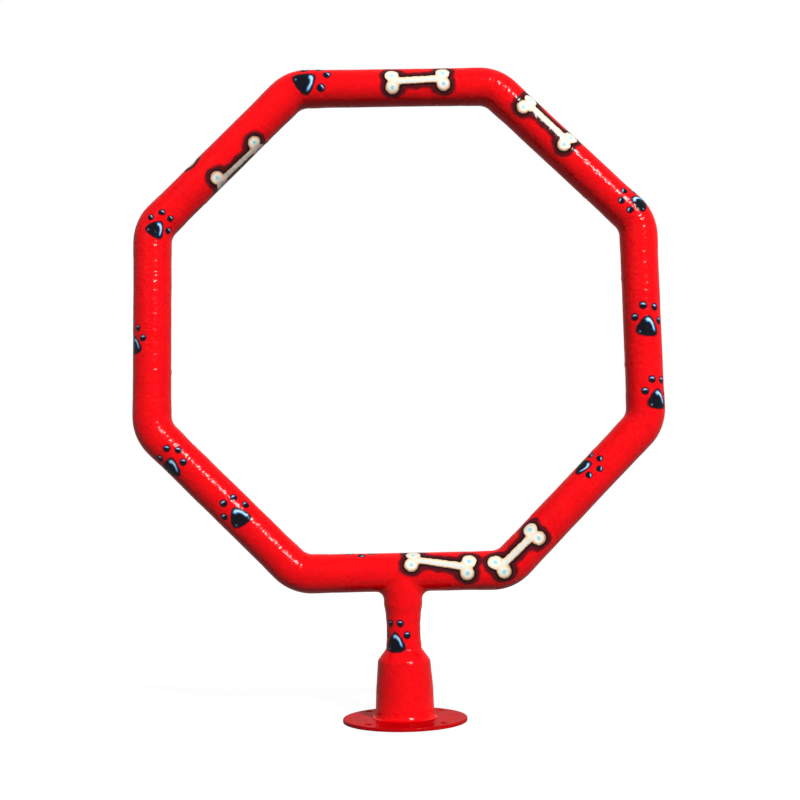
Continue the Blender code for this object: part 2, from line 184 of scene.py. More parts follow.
class NodeSheet:
    """One node tree, of a material, a group or the world."""

    def __init__(self, tree: bpy.types.NodeTree) -> None:
        """Empties the tree that it fills."""
        self.tree = tree
        tree.nodes.clear()

    def add(
        self, kind: str, feeds: Sequence[Feed] | Mapping[str, Feed] = (), **settings: object,
    ) -> bpy.types.Node:
        """Adds one node with its settings and links.

        Args:
            kind: The node's type without its leading ShaderNode.
            feeds: What goes into its inputs, in their order or by name: a node, a socket, a value,
                or a colour as sRGB hex.
            settings: The node's own properties.

        Returns:
            The new node.
        """
        node = self.tree.nodes.new(kind if kind.startswith("NodeGroup") else f"ShaderNode{kind}")
        for name, value in settings.items():
            setattr(node, name, value)
        if isinstance(feeds, Mapping):
            pairs = [(node.inputs[name], feed) for name, feed in feeds.items()]
        else:
            pairs = list(zip([socket for socket in node.inputs if socket.enabled], feeds))
        for socket, feed in pairs:
            if isinstance(feed, bpy.types.Node):
                feed = next(output for output in feed.outputs if output.enabled)
            if isinstance(feed, bpy.types.NodeSocket):
                self.tree.links.new(feed, socket)
            elif feed is not None:
                socket.default_value = linear(feed) if isinstance(feed, str) else feed
        return node

    def math(self, operation: str, *feeds: Feed) -> bpy.types.Node:
        """Adds one step of arithmetic."""
        return self.add("Math", feeds, operation=operation)

    def vector(self, operation: str, *feeds: Feed) -> bpy.types.Node:
        """Adds one step of arithmetic with vectors."""
        return self.add("VectorMath", feeds, operation=operation)

    def length(self, operation: str, *feeds: Feed) -> bpy.types.NodeSocket:
        """Adds a step that makes one number out of vectors."""
        return self.vector(operation, *feeds).outputs["Value"]

    def turn(self, vector: Feed, angle: Feed, axis: str) -> bpy.types.Node:
        """Turns a vector about X or Z."""
        return self.add("VectorRotate", {"Vector": vector, "Angle": angle}, rotation_type=f"{axis}_AXIS")

    def parts(self, vector: Feed) -> bpy.types.bpy_prop_collection:
        """The X, Y and Z of a vector."""
        return self.add("SeparateXYZ", (vector,)).outputs

    def noise(self, spot: Feed, scale: float, detail: float, roughness: float = 0.5) -> bpy.types.Node:
        """Adds smooth noise."""
        feeds = {"Vector": spot, "Scale": scale, "Detail": detail, "Roughness": roughness}
        return self.add("TexNoise", feeds)

    def blend(self, share: Feed, low: Feed, high: Feed) -> bpy.types.Node:
        """Mixes two colours."""
        return self.add("Mix", (share, low, high), data_type="RGBA")

    def bump(self, height: Feed) -> bpy.types.Node:
        """Turns a height in metres into a shading normal."""
        return self.add("Bump", {"Height": height, "Strength": 1.0, "Distance": 1.0})

    def spot(self) -> bpy.types.NodeSocket:
        """The place in the object's own frame."""
        return self.add("TexCoord").outputs["Object"]

    def seen(self) -> bpy.types.Node:
        """1 for the camera, in reflections and through glass, else 0."""
        path = self.add("LightPath").outputs
        seen = self.math("MAXIMUM", path["Is Camera Ray"], path["Is Glossy Ray"])
        return self.math("MAXIMUM", seen, path["Is Transmission Ray"])


@dataclass(frozen=True)
class Tint:
    """A colour, and the distances from a shape's edge in mm at which it is full and at which it ends."""

    colour: str
    full: float
    end: float


class NodeRecipe(NodeSheet):
    """A node group that several materials share."""

    def __init__(self, name: str, inputs: Mapping[str, str], outputs: Mapping[str, str]) -> None:
        """Makes the group and its sockets.

        Args:
            name: The group's name.
            inputs: The kind of each input socket, by name.
            outputs: The kind of each output socket, by name.
        """
        tree = bpy.data.node_groups.new(name, "ShaderNodeTree")
        for way, sockets in (("INPUT", inputs), ("OUTPUT", outputs)):
            for label, kind in sockets.items():
                tree.interface.new_socket(label, in_out=way, socket_type=f"NodeSocket{kind}")
        super().__init__(tree)
        self.given = self.add("NodeGroupInput").outputs

    def give(self, feeds: Mapping[str, Feed]) -> bpy.types.NodeTree:
        """Closes the group with what goes out, by the name of its socket."""
        self.add("NodeGroupOutput", feeds)
        return self.tree

    def within(self, distance: Feed, full: float, end: float) -> bpy.types.Node:
        """1 inside a shape, falling to 0 between two signed distances to its edge."""
        feeds = {"Value": distance, "From Min": full, "From Max": end, "To Min": 1.0, "To Max": 0.0}
        return self.add("MapRange", feeds, interpolation_type="SMOOTHSTEP")

    def layered(self, under: Feed, layers: Iterable[tuple[Feed, Tint]]) -> Feed:
        """Paints shapes one over the other.

        Args:
            under: The colour below.
            layers: The signed distance to each shape's edge in mm, negative inside it, and its tint.

        Returns:
            The node that holds the mixed colour.
        """
        for distance, tint in layers:
            under = self.blend(self.within(distance, tint.full, tint.end), under, tint.colour)
        return under


def new_material(name: str) -> tuple[bpy.types.Material, NodeSheet]:
    """Makes an empty material and its sheet."""
    material = bpy.data.materials.new(name)
    material.use_nodes = True
    return material, NodeSheet(material.node_tree)


# Where the pipes lie


@dataclass(frozen=True)
class PipeAxis:
    """A straight pipe's own frame: its middle, its direction, and the way to the hoop's middle."""

    middle: Vector
    along: Vector
    inward: Vector
    radius: float

    def outward(self, around: float) -> Vector:
        """The way out of the pipe at an angle from the front, counted towards the hoop's outside."""
        return FRONT * math.cos(around) - self.inward * math.sin(around)

    def sideways(self, around: float) -> Vector:
        """The way round the pipe, in which that angle grows."""
        return FRONT * -math.sin(around) - self.inward * math.cos(around)

    def point(self, along: float, around: float, radius: float) -> Vector:
        """A point at a distance along the axis, an angle round it and a distance from it."""
        return self.middle + self.along * along + self.outward(around) * radius


@dataclass(frozen=True)
class HoopLayout:
    """The hoop's main sizes, measured on the frame."""

    tube_radius: float
    bottom_height: float
    top_height: float
    straight_half: float
    bend_radius: float = 55.0 * MM
    joint_gap: float = 0.3 * MM

    @classmethod
    def measured(cls) -> "HoopLayout":
        """Reads the sizes from the boxes of the top tube and of a stub."""
        top_low, top_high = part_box("hoop_tube_top")
        stub_low, stub_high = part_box("hoop_stub_left")
        return cls(
            tube_radius=(top_high[1] - top_low[1]) / 2,
            bottom_height=(stub_low[2] + stub_high[2]) / 2,
            top_height=(top_low[2] + top_high[2]) / 2,
            straight_half=(top_high[0] - top_low[0]) / 2,
        )

    @property
    def apothem(self) -> float:
        """From the hoop's middle to the axis of each side."""
        return (self.top_height - self.bottom_height) / 2

    @property
    def half_side(self) -> float:
        """Half of the octagon's side, from corner to corner of the axes."""
        return self.apothem * math.tan(SIDE_TURN / 2)

    @property
    def joint(self) -> float:
        """From a side's middle to the place where its tube and an elbow meet."""
        return self.straight_half + self.joint_gap / 2

    @property
    def bend_start(self) -> float:
        """From a side's middle to the place where the bend begins."""
        return self.half_side - self.bend_radius * math.tan(SIDE_TURN / 2)

    @property
    def tangent(self) -> float:
        """The straight part at each end of an elbow."""
        return self.bend_start - self.joint

    def pivot(self, corner: float) -> Vector:
        """The point round which an elbow bends.

        Args:
            corner: The number of the side before it, plus a half.

        Returns:
            The point on the hoop's inner side.
        """
        spoke = self.apothem / math.cos(SIDE_TURN / 2) - self.bend_radius / math.cos(SIDE_TURN / 2)
        axis = self.axis(corner)
        return axis.middle + axis.inward * (self.apothem - spoke)

    def axis(self, turn: float) -> PipeAxis:
        """The frame of a pipe on the octagon.

        Args:
            turn: The number of the side. A half lies between two sides, at a corner.

        Returns:
            The frame, with its middle at the apothem.
        """
        angle = turn * SIDE_TURN
        inward = Vector((math.sin(angle), 0.0, math.cos(angle)))
        along = Vector((math.cos(angle), 0.0, -math.sin(angle)))
        centre = UP * (self.bottom_height + self.apothem)
        return PipeAxis(centre - inward * self.apothem, along, inward, self.tube_radius)

    def stem_axis(self) -> PipeAxis:
        """The frame of the upright pipe, whose angle grows from the front to the right."""
        low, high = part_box("stem_pipe")
        return PipeAxis(Vector(), UP, -RIGHT, (high[0] - low[0]) / 2)


@dataclass(frozen=True)
class HandWork:
    """How far grinding and thick paint leave a surface from its true form, in metres."""

    broad_wave: float = 38 * MM
    broad_depth: float = 0.34 * MM
    fine_wave: float = 10 * MM
    fine_depth: float = 0.07 * MM
    level: float = -0.6

    def rise(self, spot: Vector) -> float:
        """How far the surface stands out at a place, mostly below zero, so it stays within the solid."""
        broad = noise.noise(spot / self.broad_wave) + self.level
        return self.broad_depth * broad + self.fine_depth * noise.noise(spot / self.fine_wave)

    def laid(self, spot: Vector, outward: Vector, share: float = 1.0) -> Vector:
        """Moves a point of the true form to where the hand left it.

        Args:
            spot: The point on the true form.
            outward: The way out of the surface there.
            share: How much of the unevenness it takes.

        Returns:
            The moved point.
        """
        return spot + outward * (share * self.rise(spot))


@dataclass(frozen=True)
class WeldBead:
    """The ground-down weld where an elbow meets a tube, under its paint."""

    swell: float = 0.6 * MM
    swell_start: float = -8.0 * MM
    swell_end: float = 14.0 * MM
    crest: float = 0.16 * MM
    crest_place: float = 0.5 * MM
    crest_width: float = 4.5 * MM
    ripple_wave: float = 6.0 * MM
    ripple_mean: float = 0.8
    ripple_swing: float = 0.5

    def rise(self, distance: float, spot: Vector) -> float:
        """How far the pipe's surface stands out near a weld.

        Args:
            distance: The distance past the joint, into the elbow.
            spot: The place, for the bead's ripple.

        Returns:
            The height above the tube's own surface.
        """
        bell = math.exp(-((distance - self.crest_place) / self.crest_width) ** 2)
        ripple = self.ripple_mean + self.ripple_swing * noise.noise(spot / self.ripple_wave)
        swell = self.swell * smooth_step(self.swell_start, self.swell_end, distance)
        return swell + self.crest * bell * ripple


# Meshes


class Skin:
    """A closed surface made of rings of points that are joined one to the next."""

    def __init__(self, name: str) -> None:
        """Starts an empty surface.

        Args:
            name: The name of the piece.
        """
        self.name = name
        self.bm = bmesh.new()

    def ring(self, points: Iterable[Vector]) -> list[bmesh.types.BMVert]:
        """Adds one closed ring of points."""
        return [self.bm.verts.new(point) for point in points]

    def band(self, first: Sequence[bmesh.types.BMVert], second: Sequence[bmesh.types.BMVert]) -> None:
        """Joins two rings of as many points by a band of quads."""
        for here in range(len(first)):
            there = (here + 1) % len(first)
            corners = dict.fromkeys((first[here], first[there], second[there], second[here]))
            if len(corners) > 2:
                self.bm.faces.new(tuple(corners))

    def bands(self, rings: Sequence[Sequence[bmesh.types.BMVert]], closed: bool = False) -> None:
        """Joins a row of rings.

        Args:
            rings: The rings, in order.
            closed: Whether the last ring is joined to the first.
        """
        for first, second in zip(rings, rings[1:]):
            self.band(first, second)
        if closed:
            self.band(rings[-1], rings[0])

    def made(self) -> bpy.types.Object:
        """Turns the surface into an object that is linked to the scene."""
        bmesh.ops.remove_doubles(self.bm, verts=self.bm.verts, dist=WELDED)
        bmesh.ops.recalc_face_normals(self.bm, faces=self.bm.faces)
        mesh = bpy.data.meshes.new(self.name)
        self.bm.to_mesh(mesh)
        self.bm.free()
        shade(mesh)
        return stand(self.name, mesh)


def stand(name: str, data: bpy.types.ID) -> bpy.types.Object:
    """Makes an object of a mesh, a lamp or a camera and links it to the scene."""
    thing = bpy.data.objects.new(name, data)
    bpy.context.scene.collection.objects.link(thing)
    return thing


def shade(mesh: bpy.types.Mesh) -> None:
    """Shades a mesh smooth, except where its faces meet at a sharp edge."""
    mesh.shade_smooth()
    mesh.set_sharp_from_angle(angle=SHARP_EDGE)


def turned(
    name: str, profile: Sequence[tuple[float, float]], segments: int, axis: PipeAxis,
    lay: Callable[[Vector, Vector], Vector] | None = None, laid_rows: range | None = None,
) -> Skin:
    """Turns a closed outline round an axis.

    Args:
        name: The name of the piece.
        profile: The outline's corners as distance from the axis and height along it.
        segments: The number of points round the axis.
        axis: The axis to turn about.
        lay: What moves the points, from the point and its way out, or none.
        laid_rows: The corners of the outline that it moves, or all.

    Returns:
        The open skin, still to be made.
    """
    skin = Skin(name)
    rings = []
    rows = laid_rows or range(len(profile))
    for row, (radius, height) in enumerate(profile):
        points = []
        for around in circle(segments):
            point = axis.point(height, around, radius)
            points.append(lay(point, axis.outward(around)) if lay and row in rows else point)
        rings.append(skin.ring(points))
    skin.bands(rings, closed=True)
    return skin


def rounded(corners: Sequence[tuple[float, float, float]], arc_steps: int = 8) -> list[tuple[float, float]]:
    """Rounds the corners of an open outline.

    Args:
        corners: Each corner's radius from the axis, its height, and the radius of its rounding.
        arc_steps: The number of steps in each rounding.

    Returns:
        The points of the rounded outline.
    """
    points = [corners[0][:2]]
    for before, here, after in zip(corners, corners[1:], corners[2:]):
        corner = Vector(here[:2])
        back, ahead = (Vector(before[:2]) - corner), (Vector(after[:2]) - corner)
        if here[2] <= 0:
            points.append(here[:2])
            continue
        half = back.angle(ahead) / 2
        reach = here[2] / math.tan(half)
        start, end = corner + back.normalized() * reach, corner + ahead.normalized() * reach
        centre = corner + (back.normalized() + ahead.normalized()).normalized() * here[2] / math.sin(half)
        first, last = start - centre, end - centre
        for step in range(arc_steps + 1):
            spoke = first.normalized().slerp(last.normalized(), step / arc_steps, first.normalized())
            points.append(tuple(centre + spoke * here[2]))
    points.append(corners[-1][:2])
    return points


def carve(piece: bpy.types.Object, cutter: bpy.types.Object) -> None:
    """Cuts one closed mesh out of another and deletes the cutter.

    Args:
        piece: The object that is cut.
        cutter: The object that is taken away from it.
    """
    cut = piece.modifiers.new("carve", "BOOLEAN")
    cut.operation = "DIFFERENCE"
    cut.solver = "EXACT"
    cut.object = cutter
    bpy.context.view_layer.update()
    shape = bpy.data.meshes.new_from_object(piece.evaluated_get(bpy.context.evaluated_depsgraph_get()))
    piece.modifiers.clear()
    old, piece.data = piece.data, shape
    bpy.data.meshes.remove(old)
    bpy.data.objects.remove(cutter)
    piece.data.name = piece.name
    shade(piece.data)


def hand_over(piece: bpy.types.Object, node: str, slot: Slot, finish: bpy.types.Material) -> None:
    """Dresses a piece, hangs it on the root body and hides its CAD node.

    Args:
        piece: The finished mesh object.
        node: The CAD node that it replaces.
        slot: The record's slot of its finish; not used.
        finish: Its material.
    """
    piece.data.materials.clear()
    piece.data.materials.append(finish)
    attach(piece, ROOT_BODY)
    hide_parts(node)
    LOG.info("%s stands for %s, %d faces", piece.name, node, len(piece.data.polygons))


# Painted figures


# How far a bone's surround spreads past its ends, and a whole paw print from its middle, in mm
BONE_SPREAD = 28
PAW_SPREAD = 42


@dataclass(frozen=True)
class Motif:
    """One figure painted on a pipe.

    It lies at a distance in mm along its side, or up the stem, and at an angle in degrees round it.
    A bone's size is the distance between its knobs in mm, a paw print's is a scale.
    """

    figure: Figure
    post: Side | None
    along_mm: float
    around: float
    heading: float
    size: float

    def axis(self, layout: HoopLayout) -> PipeAxis:
        """The frame of the pipe that it was painted on."""
        return layout.stem_axis() if self.post is None else layout.axis(self.post.value)

    def middle(self, layout: HoopLayout) -> Vector:
        """The figure's middle on the surface."""
        axis = self.axis(layout)
        return axis.point(self.along_mm * MM, math.radians(self.around), axis.radius)

    def bend_place(self, layout: HoopLayout) -> tuple[float, float, float]:
        """Where a figure of the hoop lies, counted along the pipes from its nearest elbow.

        Args:
            layout: The hoop's sizes.

        Returns:
            The number of the side before that elbow, plus a half, the angle in its bend, positive on
            the side before it, and the distance past the end of the bend.
        """
        ahead = -1 if self.along_mm > 0 else 1
        limit = SIDE_TURN / 2
        start = self.along_mm * MM + ahead * (layout.bend_start + layout.bend_radius * limit)
        turn = min(max(start / layout.bend_radius, -limit), limit)
        return self.post.value + ahead * 0.5, turn, start - layout.bend_radius * turn

    @property
    def reach(self) -> float:
        """How far the figure and its dark surround spread from its middle."""
        if self.figure is Figure.BONE:
            return (self.size / 2 + BONE_SPREAD) * MM
        return self.size * PAW_SPREAD * MM


MOTIFS = (
    Motif(Figure.BONE, Side.TOP, -39.0, 4.0, 177, 82.5),
    Motif(Figure.BONE, Side.UPPER_RIGHT, 52.9, 19.5, 180, 89.5),
    Motif(Figure.BONE, Side.UPPER_LEFT, -8.9, -66.0, 1.5, 82.7),
    Motif(Figure.BONE, Side.BOTTOM, 58.3, -28.0, 10, 87.6),
    Motif(Figure.BONE, Side.LOWER_RIGHT, -129.7, -21.2, 2, 74.4),
    Motif(Figure.PAW, Side.TOP, 143.1, 1.6, 147, 1.15),
    Motif(Figure.PAW, Side.LEFT, -157.4, -16.0, -163, 0.88),
    Motif(Figure.PAW, Side.LEFT, 30.8, 51.7, 180, 0.90),
    Motif(Figure.PAW, Side.LOWER_LEFT, -94.4, 39.2, -127, 0.96),
    Motif(Figure.PAW, Side.LOWER_LEFT, 36.7, -1.4, -166, 1.0),
    Motif(Figure.PAW, Side.BOTTOM, -72.0, -124.0, 58, 0.96),
    Motif(Figure.PAW, Side.UPPER_RIGHT, -143.2, 35.3, -29, 0.95),
    Motif(Figure.PAW, Side.RIGHT, -15.1, 3.4, 7, 1.06),
    Motif(Figure.PAW, Side.RIGHT, -131.2, 26.9, 2, 1.02),
    Motif(Figure.PAW, Side.LOWER_RIGHT, 38.0, -60.9, 47, 0.90),
    Motif(Figure.PAW, None, 119.6, -31.0, 0, 0.96),
    # The other side of the hoop, which the photograph doesn't show
    Motif(Figure.BONE, Side.UPPER_LEFT, 8.0, 117.0, -20, 84.0),
    Motif(Figure.BONE, Side.TOP, 44.0, 176.0, 8, 84.0),
    Motif(Figure.PAW, Side.TOP, -92.0, 188.0, -150, 1.0),
    Motif(Figure.PAW, Side.UPPER_RIGHT, 18.0, 182.0, 24, 1.0),
    Motif(Figure.BONE, Side.RIGHT, 34.0, 178.0, -6, 86.0),
    Motif(Figure.PAW, Side.RIGHT, -96.0, 170.0, 160, 0.96),
    Motif(Figure.BONE, Side.LOWER_RIGHT, 10.0, 176.0, 5, 82.0),
    Motif(Figure.PAW, Side.BOTTOM, 92.0, 184.0, -20, 1.0),
    Motif(Figure.BONE, Side.LOWER_LEFT, -20.0, 184.0, 174, 86.0),
    Motif(Figure.PAW, Side.LEFT, 96.0, 186.0, 14, 1.0),
    Motif(Figure.BONE, Side.LEFT, -34.0, 176.0, -175, 84.0),
    Motif(Figure.PAW, None, 140.0, 150.0, 180, 0.9),
)


# Finishes


@dataclass(frozen=True)
class PawShape:
    """A paw print's drawing in mm, about the middle of its pad, with its toes ahead."""

    apex_round: float = 56.0
    flank_width: float = 0.85
    flank_rise: float = 0.53
    flank_reach: float = 15.2
    heel: float = 13.6
    base_round: float = 32.0
    toes: tuple[tuple[float, float, float], ...] = ((32.0, 9.5, 0.0), (13.5, 20.5, 0.0))
    toe_radius: float = 5.2
    touch_radius: float = 3.9
    touch_start: float = 1.3
    touch_soft: float = 0.8
    stroke_depth: float = 2.6
    stroke_start: float = 4.0
    stroke_slant: tuple[float, float] = (-0.70, -0.71)
    stroke_taper: float = -0.03
    stroke_soft: float = 2.0
    # Each coat of the contour stroke: its tint, half its width and how much later it starts
    strokes: tuple[tuple[Tint, float, float], ...] = (
        (Tint("#3C8CCB", -0.6, 0.6), 1.1, 0.0),
        (Tint("#9CD3F2", -0.6, 0.6), 0.5, 1.4),
        (Tint("#D9F0FB", -0.6, 0.6), 0.1, 3.0),
    )
    dab: tuple[float, float, float] = (-7.5, -10.5, 0.0)
    base_line: float = 10.5
    base_line_half: float = 0.4
    surround: Tint = Tint("#4A0414", 0.0, 2.2)
    ink: Tint = Tint("#060814", -0.5, 0.5)
    dab_tint: Tint = Tint("#5F8CB8", 0.3, 2.2)
    base_tint: Tint = Tint("#3B3A58", -0.4, 0.6)
    touch_rim: Tint = Tint("#20336E", -0.3, 1.5)
    touch_light: Tint = Tint("#A9CFEE", -0.9, 0.3)


@dataclass(frozen=True)
class BoneShape:
    """A bone's drawing in mm, about its middle."""

    knob_radius: float = 10.8
    knob_offset: float = 10.0
    cleft_round: float = 3.0
    shaft_half_width: float = 6.0
    shaft_round: float = 2.0
    knob_blend: float = 8.0
    smudge_scale: float = 0.06
    smudge_depth: float = 7.0
    streak_offset: float = 1.4
    streak_margin: float = 9.0
    streak_soft: float = 2.0
    light_from_side: float = 0.08
    surround: Tint = Tint("#560611", 7.0, 12.5)
    outline: Tint = Tint("#14040A", 2.2, 4.4)
    rim: Tint = Tint("#C79A78", -0.4, 0.5)
    creams: tuple[Tint, ...] = (
        Tint("#F3D3AE", -1.3, -0.1), Tint("#FAE6CE", -3.4, -1.0), Tint("#FBF2E2", -6.6, -3.0),
    )
    streak: Tint = Tint("#D5E7E8", 0.2, 3.2)
    knob_lights: tuple[Tint, ...] = (Tint("#F1F7F4", 3.2, 7.5), Tint("#9FDBE4", 1.4, 4.8))


@dataclass(frozen=True)
class Enamel:
    """Alkyd gloss enamel, brushed on thickly by hand in several coats.

    To the eye: a saturated red film that has kept the brush's ridges, so each highlight breaks into
    small flecks, under a glassy top.
    """

    red: str = "#FC060F"
    deep_red: str = "#EF020E"
    lightness: float = 1.0
    roughness: float = 0.42
    coat: float = 0.2
    coat_roughness: float = 0.17
    coat_ior: float = 1.5
    film_ior: float = 1.03
    mottle_mm: float = 45.0
    mottle_low: float = 0.75
    mottle_high: float = 1.25
    peel_length_mm: float = 6.0
    peel_width_mm: float = 11.0
    peel_depth: float = 1.0 * MM
    peel_grain: float = 0.45
    stroke_length_mm: float = 16.0
    stroke_width_mm: float = 4.0
    stroke_depth: float = 0.20 * MM
    # The brush crossed its own marks: each pass has its twist in radians per metre, and a shift
    passes: tuple[tuple[float, float], ...] = ((14.0, 0.0), (-9.8, 3.7))
    figure_height: float = 0.10 * MM
    figure_step: tuple[float, float] = (-0.6, 0.5)
    waver_scale: float = 0.16
    waver_mm: float = 2.4
    paw: PawShape = PawShape()
    bone: BoneShape = BoneShape()

    @staticmethod
    def local_recipe() -> bpy.types.NodeTree:
        """The place of a point along, out of and round a pipe, in metres."""
        ways = ("Along", "Out", "Round")
        vectors = dict.fromkeys(("Spot", "Middle", *ways), "Vector")
        sheet = NodeRecipe("pipe place", vectors, {"Place": "Vector"})
        offset = sheet.vector("SUBTRACT", sheet.given["Spot"], sheet.given["Middle"])
        parts = [sheet.length("DOT_PRODUCT", offset, sheet.given[way]) for way in ways]
        return sheet.give({"Place": sheet.add("CombineXYZ", parts)})

    @staticmethod
    def bend_recipe() -> bpy.types.NodeTree:
        """The same place where the way along follows the pipes round an elbow."""
        vectors = dict.fromkeys(("Spot", "Pivot", "Along", "Out"), "Vector")
        numbers = dict.fromkeys(("Bend", "Start Turn", "Start Past", "Around", "Lean"), "Float")
        sheet = NodeRecipe("bend place", vectors | numbers, {"Place": "Vector"})
        given = sheet.given
        offset = sheet.vector("SUBTRACT", given["Spot"], given["Pivot"])
        ways = (given["Along"], given["Out"], tuple(FRONT))
        across, away, depth = (sheet.length("DOT_PRODUCT", offset, way) for way in ways)
        turn = sheet.add("Clamp", (sheet.math("ARCTAN2", across, away), -SIDE_TURN / 2, SIDE_TURN / 2))
        seen = sheet.add("CombineXYZ", (away, across, 0.0))
        own, flat = (
            sheet.parts(sheet.turn(seen, sheet.math("MULTIPLY", angle, -1.0), "Z"))
            for angle in (turn, given["Start Turn"])
        )
        # Measured flat in the figure's own plane, so the bend doesn't shear the figure
        along = sheet.math("SUBTRACT", flat["Y"], given["Start Past"])
        out = sheet.math("SUBTRACT", own["X"], given["Bend"])
        slide = sheet.math("SUBTRACT", own["X"], flat["X"])
        bank = sheet.math("MULTIPLY_ADD", slide, given["Lean"], given["Around"])
        unwound = sheet.math("MULTIPLY", bank, -1.0)
        return sheet.give({"Place": sheet.turn(sheet.add("CombineXYZ", (along, depth, out)), unwound, "X")})

    def film_recipe(self) -> bpy.types.NodeTree:
        """The red film: its colour, and the height of its brush marks and orange peel in metres."""
        sheet = NodeRecipe(
            "brushed enamel", {"Spot": "Vector", "Place": "Vector"}, {"Colour": "Color", "Height": "Float"},
        )
        spot, place = sheet.given["Spot"], sheet.given["Place"]
        along = sheet.parts(place)["X"]
        width = 1000 / self.stroke_width_mm
        height = 0.0
        ridges = []
        for twist, shift in self.passes:
            wound = sheet.turn(place, sheet.math("MULTIPLY", along, twist), "X")
            drawn = sheet.vector("MULTIPLY", wound, (1000 / self.stroke_length_mm, width, width))
            ridges.append(sheet.noise(sheet.vector("ADD", drawn, (shift, shift, shift)), 1.0, 1.0))
            height = sheet.math("MULTIPLY_ADD", ridges[-1], self.stroke_depth, height)
        width = 1000 / self.peel_width_mm
        laid = sheet.vector("MULTIPLY", place, (1000 / self.peel_length_mm, width, width))
        peel = sheet.noise(laid, 1.0, 1.0, self.peel_grain)
        height = sheet.math("MULTIPLY_ADD", peel, self.peel_depth, height)
        mixed = sheet.math("ADD", sheet.noise(spot, 1000 / self.mottle_mm, 3.0), ridges[0])
        share = sheet.add("MapRange", (mixed, self.mottle_low, self.mottle_high))
        return sheet.give({"Colour": sheet.blend(share, self.deep_red, self.red), "Height": height})

    def figure_sheet(self, figure: Figure) -> tuple[NodeRecipe, bpy.types.Node]:
        """Starts a figure's group and works out the place on its unrolled drawing.

        Args:
            figure: The figure to draw.

        Returns:
            The sheet, and the node that holds the place in mm, with X the way the figure points.
        """
        film = {"Colour": "Color", "Height": "Float"}
        place = {"Place": "Vector", "Radius": "Float", "Turn": "Float", "Size": "Float"}
        sheet = NodeRecipe(figure.value, film | place, film)
        parts = sheet.parts(sheet.given["Place"])
        arc = sheet.math("MULTIPLY", sheet.math("ARCTAN2", parts["Z"], parts["Y"]), sheet.given["Radius"])
        back = sheet.math("MULTIPLY", sheet.given["Turn"], -1.0)
        drawing = sheet.turn(sheet.add("CombineXYZ", (parts["X"], arc, 0.0)), back, "Z")
        in_mm = sheet.vector("MULTIPLY", drawing, (1000.0, 1000.0, 1000.0))
        waver = sheet.noise(in_mm, self.waver_scale, 1.0).outputs["Color"]
        centred = sheet.vector("SUBTRACT", waver, (0.5, 0.5, 0.5))
        return sheet, sheet.vector("MULTIPLY_ADD", centred, (self.waver_mm, self.waver_mm, 0.0), in_mm)

    def finished(
        self, sheet: NodeRecipe, edge: Feed, layers: Sequence[tuple[Feed, Tint]],
    ) -> bpy.types.NodeTree:
        """Closes a figure's group, with its colours laid on and the film raised under them.

        Args:
            sheet: The figure's group.
            edge: The signed distance to the figure's edge in mm.
            layers: The rows that NodeRecipe.layered takes.

        Returns:
            The finished group.
        """
        colour = sheet.layered(sheet.given["Colour"], layers)
        inside = sheet.within(edge, *self.figure_step)
        height = sheet.math("MULTIPLY_ADD", inside, self.figure_height, sheet.given["Height"])
        return sheet.give({"Colour": colour, "Height": height})

    def paw_recipe(self) -> bpy.types.NodeTree:
        """A paw print: a rounded three-cornered pad and four toes, with sky-blue brush touches."""
        paw = self.paw
        sheet, drawn = self.figure_sheet(Figure.PAW)
        scaled = sheet.vector("DIVIDE", drawn, sheet.given["Size"])
        ahead, across, _ = sheet.parts(scaled)
        folded = sheet.add("CombineXYZ", (ahead, sheet.math("ABSOLUTE", across), 0.0))
        # The pad: two leaning flanks that meet in a round apex, and a base with round corners
        half_width = sheet.math("SQRT", sheet.math("MULTIPLY_ADD", across, across, paw.apex_round))
        lean = sheet.math("MULTIPLY_ADD", ahead, paw.flank_rise, -paw.flank_reach)
        flank = sheet.math("MULTIPLY_ADD", half_width, paw.flank_width, lean)
        heel = sheet.math("MULTIPLY_ADD", ahead, -1.0, -paw.heel)
        pad = sheet.math("SMOOTH_MAX", flank, heel, paw.base_round)
        toes, touches = [], []
        for place in paw.toes:
            toes.append(sheet.length("DISTANCE", folded, place))
            disc = sheet.math("SUBTRACT", toes[-1], paw.touch_radius)
            chord = sheet.math("SUBTRACT", place[0] + paw.touch_start, ahead)
            touches.append(sheet.math("SMOOTH_MAX", disc, chord, paw.touch_soft))
        toe = sheet.math("SUBTRACT", sheet.math("MINIMUM", *toes), paw.toe_radius)
        edge = sheet.math("MINIMUM", pad, toe)
        layers = [(edge, paw.surround), (edge, paw.ink)]
        # The contour stroke runs inside the pad's edge, over the apex and down one flank
        line = sheet.math("ABSOLUTE", sheet.math("ADD", pad, paw.stroke_depth))
        drift = sheet.math("MULTIPLY_ADD", ahead, paw.stroke_slant[0], paw.stroke_start)
        gate = sheet.math("MULTIPLY_ADD", across, paw.stroke_slant[1], drift)
        for tint, half, later in paw.strokes:
            body = sheet.math("SUBTRACT", line, half)
            narrow = sheet.math("MULTIPLY_ADD", ahead, paw.stroke_taper, body)
            stroke = sheet.math("SMOOTH_MAX", narrow, sheet.math("ADD", gate, later), paw.stroke_soft)
            layers.append((stroke, tint))
        thin = sheet.math("SUBTRACT", line, paw.base_line_half)
        below = sheet.math("ADD", ahead, paw.base_line)
        lower = sheet.math("SMOOTH_MAX", thin, below, paw.stroke_soft)
        touch = sheet.math("MINIMUM", *touches)
        layers += [
            (sheet.length("DISTANCE", scaled, paw.dab), paw.dab_tint), (lower, paw.base_tint),
            (touch, paw.touch_rim), (touch, paw.touch_light),
        ]
        return self.finished(sheet, edge, layers)

